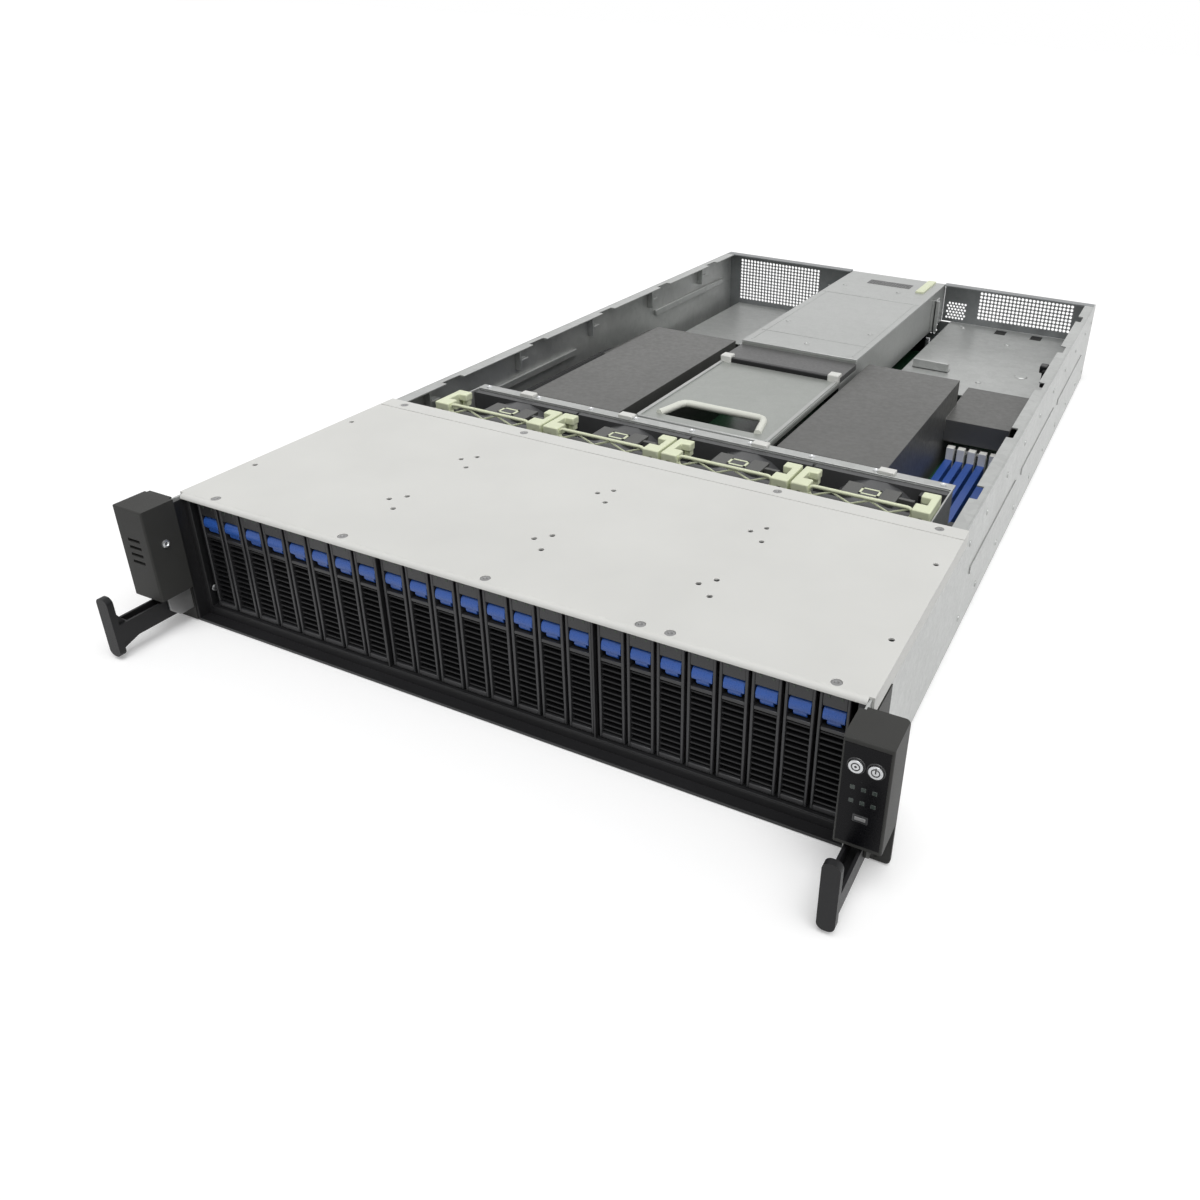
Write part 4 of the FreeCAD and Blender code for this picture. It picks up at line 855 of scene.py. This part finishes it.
def rear():
    """Rear panel with its perforated fields, port cut-outs and the blank of the low slot."""
    (x0, flange, z0), (x1, _, z1) = size("rear_panel")
    gap = 0.5
    (riser_x0, _, _), (riser_x1, _, _) = size("riser_unit")
    riser_x0, riser_x1 = riser_x0 - gap, riser_x1 + gap
    outer_supply, inner_supply = size("psu_1"), size("psu_2")
    bay_x0, bay_x1 = size("expansion_bay_cover")[0][0], size("expansion_bay_cover")[1][0]
    low, high, ports_left, ports_top = z0 + 0.2, z1 - 0.1, bay_x1 + 3.8, DECK - 1.5
    form = Form()

    def sheet(outline, holes=()):
        form.plate(outline, list(holes), upright(PANEL_FRONT), SHEET)

    low_slot = oblong(bay_x0 + 3, bay_x1 - 2, 4, 24)
    cuts = [oblong(*span(x, w / 2 + gap), *span(z, h / 2 + gap)) for x, z, w, h in PORTS]
    cuts += field(8, 50, 25, 39, *HEXAGONS) + [ring(48, 7, 2.6, 16), ring(21, 7, 2.6, 16)]
    cuts += field(-90, -72, 26, 40, *HEXAGONS)
    sheet(oblong(x0, ports_left, low, high), field(-206, -100, 30, 80, *SQUARES) + [low_slot])
    sheet(oblong(ports_left, inner_supply[0][0] - gap, low, ports_top), cuts)
    sheet(oblong(ports_left, riser_x0, ports_top, high), field(-88, -68, 46, 66, *HEXAGONS))
    sheet(oblong(riser_x1, x1, DECK, high),
          field(57, 80, 46, 66, *HEXAGONS) + field(94, 202, 50, 82, *SQUARES))
    sheet(oblong(size("psu_cage")[1][0] - SHEET, x1, low, DECK))
    sheet(oblong(inner_supply[1][0] + gap, outer_supply[0][0] - gap, low, DECK))
    for a, b in ((x0, riser_x0), (riser_x1, x1)):
        form.box(a, b, flange, PANEL_FRONT, z1 - SHEET, z1)
    form.piece("rear_sheet", "chassis", REAR, 0.0, "rear_panel")
    blank = Form().plate(oblong(bay_x0 + 2.6, bay_x1 - 1.6, 3.6, 24.4),
                         field(-197, -112, 7.5, 20.5, 3.7, 1.45), upright(PANEL_FRONT - 1), 0.9)
    blank.turned((bay_x1 - 7.5, BACK - 1.4, 14), REARWARD,
                 [(0, 2.8), (0.9, 2.6), (1.2, 1.4), (0.6, 1.0)], 18)
    blank.piece("low_blank", "chassis", ZINC, 0.1)
    low_cover = Form().plate(oblong(4, riser_x1, 23.4, 40.6), field(8, 50, 25, 39, *HEXAGONS),
                             upright(BACK), 0.5)
    low_cover.box(4, riser_x1, BACK, BACK + 2.4, 40.0, 40.8)
    low_cover.piece("low_slot_cover", "chassis", LID)
    knobs = Form()
    knob_z = 78.3
    for x in (208, 68.5, -74.5):
        knobs.turned((x, BACK, knob_z), REARWARD, [(0, 3.4), (1.2, 3.4), (1.2, 4.9), (6.6, 4.9), (7.6, 4.2),
                                                   (7.9, 2.4), (7.2, 1.6)], 24)
        knobs.heads([(x + u, BACK + 1.6, knob_z + w) for u, w in circle(4.85, 12)], REARWARD,
                    [(0, 0.55), (4.6, 0.55)], 6)
    knobs.piece("thumbscrews", "chassis", KNOB, 0.0, "rear_panel")
    studs = Form().heads([(x, BACK - 0.4, 7) for x in (48, 21)], REARWARD,
                         [(0, 2.8), (1.6, 2.8), (2.2, 2.2), (2.2, 1.2), (1.4, 1.0)], 20)
    spots = ((-212, 10), (-212, 70), (212, 50), (-97, 60), (90, 46), (-66, 6))
    studs.heads([(x, BACK - 0.1, z) for x, z in spots], REARWARD,
                [(0, 2.6), (0.7, 2.4), (1.0, 1.4), (0.5, 1.0)], 20)
    studs.piece("rear_studs", "chassis", SILVER)


def ports():
    """Insides of the ports: dark tongues, gold contacts, the display socket's blue insert, and black dots on
    it that are painted shade for its pin holes.
    """
    dressed("io_ports", "chassis", PORT, 0.25,
            lambda low, high: ("_plinth", BLACK, "board") if high[1] < BACK - 10 else ("", PORT))
    inner, gold, blue = Form(), Form(), Form()
    depth = BACK - 7
    for index, (x, z, w, h) in enumerate(PORTS):
        if index == 0:
            inner.box(*span(x, 6), depth, BACK, *span(z, 2.6))
            for k in range(9):
                gold.box(*span(x - 4.7 + 1.2 * k, 0.3), BACK - 0.4, BACK + 0.3, *span(z, 0.6))
        elif index == 1:
            wide, tall = w / 2 - 2, h / 2 - 2
            insert = [(-wide, tall), (wide, tall), (wide - 3, -tall), (3 - wide, -tall)]
            blue.prism([(x + u, depth, z + v) for u, v in insert], (0, BACK - depth, 0))
            # The black dots on the display socket's blue insert are painted shade for its pin holes.
            inner.heads([(x - 8 + 4 * k + row % 2, BACK, z - 2.6 + 2.6 * row)
                         for row in range(3) for k in range(5)], REARWARD, [(0, 0.55), (0.2, 0.55)], 8)
        elif index in (3, 4):
            inner.box(*span(x, 5.6), depth, BACK, z + 0.2, z + 1.8)
        else:
            inner.box(*span(x, 6.6), depth - 2, depth, *span(z, 5.2))
            for k in range(8):
                gold.box(*span(x - 4.1 + 1.2 * k, 0.3), depth, BACK - 1, z + 3.2, z + 3.7)
    inner.piece("port_inners", "chassis", BLACK, 0.15)
    gold.piece("port_contacts", "chassis", GOLD)
    blue.piece("display_insert", "chassis", SOCKET, 0.3)


def supply(number):
    """Power supply: case and handle, fan and wire guard, mains inlet, light and latch."""
    node, rotor, body = f"psu_{number}", f"psu_fan_rotor_{number}", f"power_supply_{number}"
    (x0, _, z0), (_, _, z1) = size(node)
    (a0, b0, _), (a1, b1, _) = size(rotor)
    dressed(node, body, REAR, 0.35,
            lambda low, high: ("_handle", BLACK) if low[1] > BACK - 1 else ("", REAR, "psu_case"))
    fx, _, fz = middle(rotor)
    blades = blade_set(fx, b0, fz, 7.0, (a1 - a0) / 2 - 0.4, b1 - b0, 5, 50, 35)
    blades.piece("blades_" + rotor, body + "_rotor", BLACK, 0.0, rotor)
    guard = Form()
    for radius in (5.0, 8.4, 11.8, 15.2, 18.4):
        guard.loop((fx, BACK + 0.9, fz), REARWARD, radius, 0.6, 40)
    for u, w in circle(1.0, 4, 0.5):
        guard.path([(fx + radius * u, BACK + 1.1, fz + radius * w) for radius in (4.6, 20)], 0.8, 6)
    guard.turned((fx, BACK + 0.5, fz), REARWARD, [(0, 4.6), (1.2, 4.6), (1.5, 4.0)], 24)
    guard.piece(f"guard_{number}", body, SILVER, slot="psu_case")
    inlet_x, top = x0 + 20, z1 - 7
    opening = [(-11.6, -17.6), (11.6, -17.6), (11.6, -5), (7.4, -1.4), (-7.4, -1.4), (-11.6, -5)]
    inlet = Form().plate(oblong(*span(inlet_x, 14.4), top - 20.4, top + 1.4),
                         [[(inlet_x + u, top + v) for u, v in opening]], upright(BACK - 0.6), 1.4)
    inlet.piece(f"inlet_rim_{number}", body, BLACK, 0.3)
    pins = Form()
    for dx in (-7, 0, 7):
        pins.box(*span(inlet_x + dx, 1), BACK - 15, BACK - 4, top - 12, top - 7)
    pins.piece(f"inlet_pins_{number}", body, SILVER, 0.2)
    light = Form().box(x0 + 10, x0 + 12.4, BACK - 0.2, BACK + 0.5, z0 + 4, z0 + 6.4)
    light.piece(f"supply_light_{number}", body, GREEN, 0.3)
    dressed(f"psu_latch_{number}", body + "_latch", BLUE, 0.4)


# --- Inside ---

def board():
    """Motherboard with its slots, a sprinkling of parts, the memory clips and lead plugs."""
    def sort(low, high):
        if high[2] < 9.0:
            return ("_sheet", BOARD)
        if high[1] - low[1] > 80 and high[0] - low[0] < 12:
            return ("_slots", BLACK)
        if high[0] - low[0] > 45:
            return ("_chip", CHIP, "board")
        return ("_plugs", BLACK)

    dressed("motherboard", "chassis", BOARD, 0.2, sort)
    dressed("dimm_sockets", "chassis", SOCKET, 0.3,
            lambda low, high: ("_clips", CLIP) if high[2] > 20 else ("", SOCKET))
    cans, chips, plugs = Form(), Form(), Form()
    # Capacitors stand in rows: x and y of the first, and how many follow at 12 mm.
    rows = ((60, 292, 3), (-108, 292, 3), (150, 480, 3), (-182, 480, 2), (-70, 560, 2), (-70, 574, 1),
            (20, 590, 1), (34, 590, 1), (-150, 570, 3), (148, 545, 3))
    cans.heads([(x + 12 * i, y, BOARD_TOP) for x, y, count in rows for i in range(count)], UP,
               [(0, 4.0), (8.5, 4.0), (9.2, 3.6)])
    cans.piece("board_capacitors", "chassis", SILVER)
    # Chips and headers: middle x and y, width and depth.
    for x, y, w, d in ((190, 500, 16, 14), (160, 505, 20, 12), (-186, 505, 14, 14), (-120, 560, 26, 26),
                       (-150, 600, 18, 12), (-84, 606, 10, 22), (40, 560, 12, 12), (10, 560, 10, 8),
                       (190, 292, 14, 8), (-150, 292, 18, 8), (-20, 300, 22, 12), (20, 300, 14, 14)):
        chips.box(*span(x, w / 2), *span(y, d / 2), BOARD_TOP, BOARD_TOP + 1.8)
    chips.piece("board_chips", "chassis", CHIP, 0.2)
    for x, y, w, d in ((205, 520, 6, 30), (-120, 590, 40, 6), (170, 292, 24, 7), (-40, 292, 24, 7)):
        plugs.plate(oblong(*span(x, w / 2), *span(y, d / 2)),
                    [oblong(*span(x, w / 2 - 1), *span(y, d / 2 - 1))], level(BOARD_TOP), 8)
    plugs.piece("board_headers", "chassis", CLIP)


def inside_trim():
    """Screws and tabs of the fan tray, parts on the supplies' deck, black patches of painted shade for the
    deck's slots, riser posts and side ribbon.
    """
    _, (_, tray_y, tray_z) = size("fan_tray")
    screws, tabs = Form(), Form()
    screws.heads([(x, tray_y - 4.3, tray_z - 0.1) for x in (-188, -140, -92, -52, -4, 44, 92, 140, 188)], UP,
                 [(0, 2.5), (0.8, 2.3), (1.0, 1.4), (0.6, 1.0)])
    for x in (-150, -60, 52, 148):
        tabs.box(*span(x, 6), tray_y - 8, tray_y - 0.5, tray_z - 0.2, tray_z + 2.4)
    screws.piece("tray_screws", "chassis", SILVER)
    tabs.piece("tray_tabs", "chassis", BLOCK, 0.6)
    plates = Form().box(72, 108, 612, 616, DECK, DECK + 9).box(72, 108, 612, 624, DECK, DECK + SHEET)
    plates.turned((176, 640, DECK), UP, [(0, 7), (1.0, 5.6)], 28)
    spots = ((84, 566), (200, 566), (84, 780), (206, 700), (142, 600), (142, 740))
    plates.heads([(x, y, DECK - 0.1) for x, y in spots], UP, [(0, 2.8), (0.9, 2.5), (1.1, 1.5), (0.7, 1.0)])
    plates.piece("deck_parts", "chassis", ZINC, 0.25)
    # Black patches on the deck are painted shade for its two slots.
    slots = Form()
    for x in (126, 166):
        slots.box(*span(x, 6), BACK - 24, BACK - 8, DECK - 0.2, DECK + 0.15)
    slots.piece("deck_slot_shade", "chassis", HOLE_SHADE)
    posts = Form()
    for x in (-66, 57.5):
        posts.box(*span(x, 1), 742, 758, DECK, 79).box(*span(x, 4), 742, 743.4, DECK, 79)
    posts.piece("riser_posts", "chassis", ZINC, 0.3)
    bend = [(211.5, 300, 20), (211.5, 318, 34), (212, 340, 48), (212, 372, 56), (211.5, 410, 58),
            (211, 440, 50)]
    ribbon = Form().rings([[(u, y, w) for u, w in oblong(*span(x, 0.5), *span(z, 5))] for x, y, z in bend])
    ribbon.piece("side_ribbon", "chassis", RIBBON, 0.2)


def parts():
    """All pieces of the object, and the looks of the two CAD nodes that are shown as they are."""
    for make in (cover, rear, ports, board, ears_trim, front_frame, walls, inside_trim):
        make()
    for node, look, bevel in (
            ("chassis_base", ZINC, 0.3), ("fan_tray", ZINC, 0.25), ("psu_cage", ZINC, 0.25),
            ("expansion_bay_cover", ZINC, 0.3), ("drive_cage", BLACK_STEEL, 0.25),
            ("heatsinks", SINK, 0.15)):
        dressed(node, "chassis", look, bevel)
    for name in ("power", "id"):
        dressed(name + "_button", "button_" + name, SILVER, 0.5, slot="button_silver")
    for side in ("right", "left"):
        dressed(side + "_ear", "chassis", BLACK, 0.5,
                lambda low, high: ("_cheek", CHEEK)
                if high[2] < 27 and abs(low[0] + high[0]) / 2 < 229 else ("", EAR))
        dressed(side + "_air_duct", "duct_" + side, DUCT, 0.5)
        dressed(side + "_release_lever", "lever_" + side, HANDLE, 0.9, segments=3)
    riser()
    for make, count in ((fan, 4), (supply, 2), (drive, 24)):
        for number in range(1, count + 1):
            make(number)
    for node, look in (("backplane", BOARD), ("cable_bundle", LEAD)):
        materials = frame["nodes"][node].data.materials
        materials.clear()
        materials.append(look)


parts()


# --- Stage, light and camera ---

def seen_level(tree, hidden, shown):
    """One value for the light that a surface sees, another for what the camera, gloss and glass see."""
    path = tree.nodes.new("ShaderNodeLightPath")
    seen = path.outputs["Is Camera Ray"]
    for name in ("Is Glossy Ray", "Is Transmission Ray"):
        add = tree.nodes.new("ShaderNodeMath")
        add.operation = "MAXIMUM"
        tree.links.new(seen, add.inputs[0])
        tree.links.new(path.outputs[name], add.inputs[1])
        seen = add.outputs["Value"]
    answer = tree.nodes.new("ShaderNodeMapRange")
    answer.inputs["To Min"].default_value = hidden
    answer.inputs["To Max"].default_value = shown
    tree.links.new(seen, answer.inputs["Value"])
    return answer.outputs["Result"]


def stage():
    """Pale floor under the object."""
    t = Tree("floor")
    t.link(seen_level(t.mat.node_tree, 0.42, 0.91), t.shader.inputs["Base Color"])
    t.shader.inputs["Roughness"].default_value = 0.9
    t.shader.inputs["Emission Color"].default_value = (1, 1, 1, 1)
    t.link(seen_level(t.mat.node_tree, 0.05, 0.17), t.shader.inputs["Emission Strength"])
    mesh = bpy.data.meshes.new("floor")
    reach = 12.0
    mesh.from_pydata([(x, y, 0) for x, y in oblong(-reach, reach, -reach, reach)], [], [(0, 1, 2, 3)])
    mesh.materials.append(t.mat)
    floor = bpy.data.objects.new("floor", mesh)
    floor.location.z = CAD_BOUNDS[0][2] - 0.0005
    bpy.context.scene.collection.objects.link(floor)


def world():
    sky = bpy.data.worlds.new("studio")
    bpy.context.scene.world = sky
    sky.use_nodes = True
    tree = sky.node_tree
    back = tree.nodes["Background"]
    back.inputs["Color"].default_value = (1, 1, 1, 1)
    tree.links.new(seen_level(tree, 0.32, 1.0), back.inputs["Strength"])


def lamp(name, aim, angle, power):
    """Distant lamp, wide enough for soft shadows."""
    light = bpy.data.lights.new(name, "SUN")
    light.angle = math.radians(angle)
    light.energy = power
    obj = bpy.data.objects.new(name, light)
    obj.rotation_euler = Vector(aim).to_track_quat("-Z", "Y").to_euler()
    bpy.context.scene.collection.objects.link(obj)


def camera():
    """Three-quarter view from the front right, a little above, as in the photograph."""
    azimuth, elevation, roll = math.radians(23.09), math.radians(27.48), math.radians(2.74)
    back = Vector((math.sin(azimuth) * math.cos(elevation),
                   -math.cos(azimuth) * math.cos(elevation), math.sin(elevation)))
    x = Vector((0, 0, 1)).cross(back).normalized()
    y = back.cross(x)
    x, y = (math.cos(roll) * x + math.sin(roll) * y, -math.sin(roll) * x + math.cos(roll) * y)
    data = bpy.data.cameras.new("camera")
    data.sensor_width = 36.0
    data.lens = 30.49
    data.shift_x = -0.12
    data.shift_y = -0.063
    obj = bpy.data.objects.new("camera", data)
    place = Vector((0.31128, -0.36524, 0.37026))
    obj.matrix_world = Matrix.Translation(place) @ Matrix((x, y, back)).transposed().to_4x4()
    bpy.context.scene.collection.objects.link(obj)
    bpy.context.scene.camera = obj


stage()
world()
lamp("key", (-0.20, 0.28, -1.0), 50, 1.95)
lamp("side", (-1.0, 0.20, -0.8), 60, 0.42)
camera()
bpy.context.scene.view_settings.view_transform = "Standard"

# --- Finish ---

bpy.context.view_layer.update()
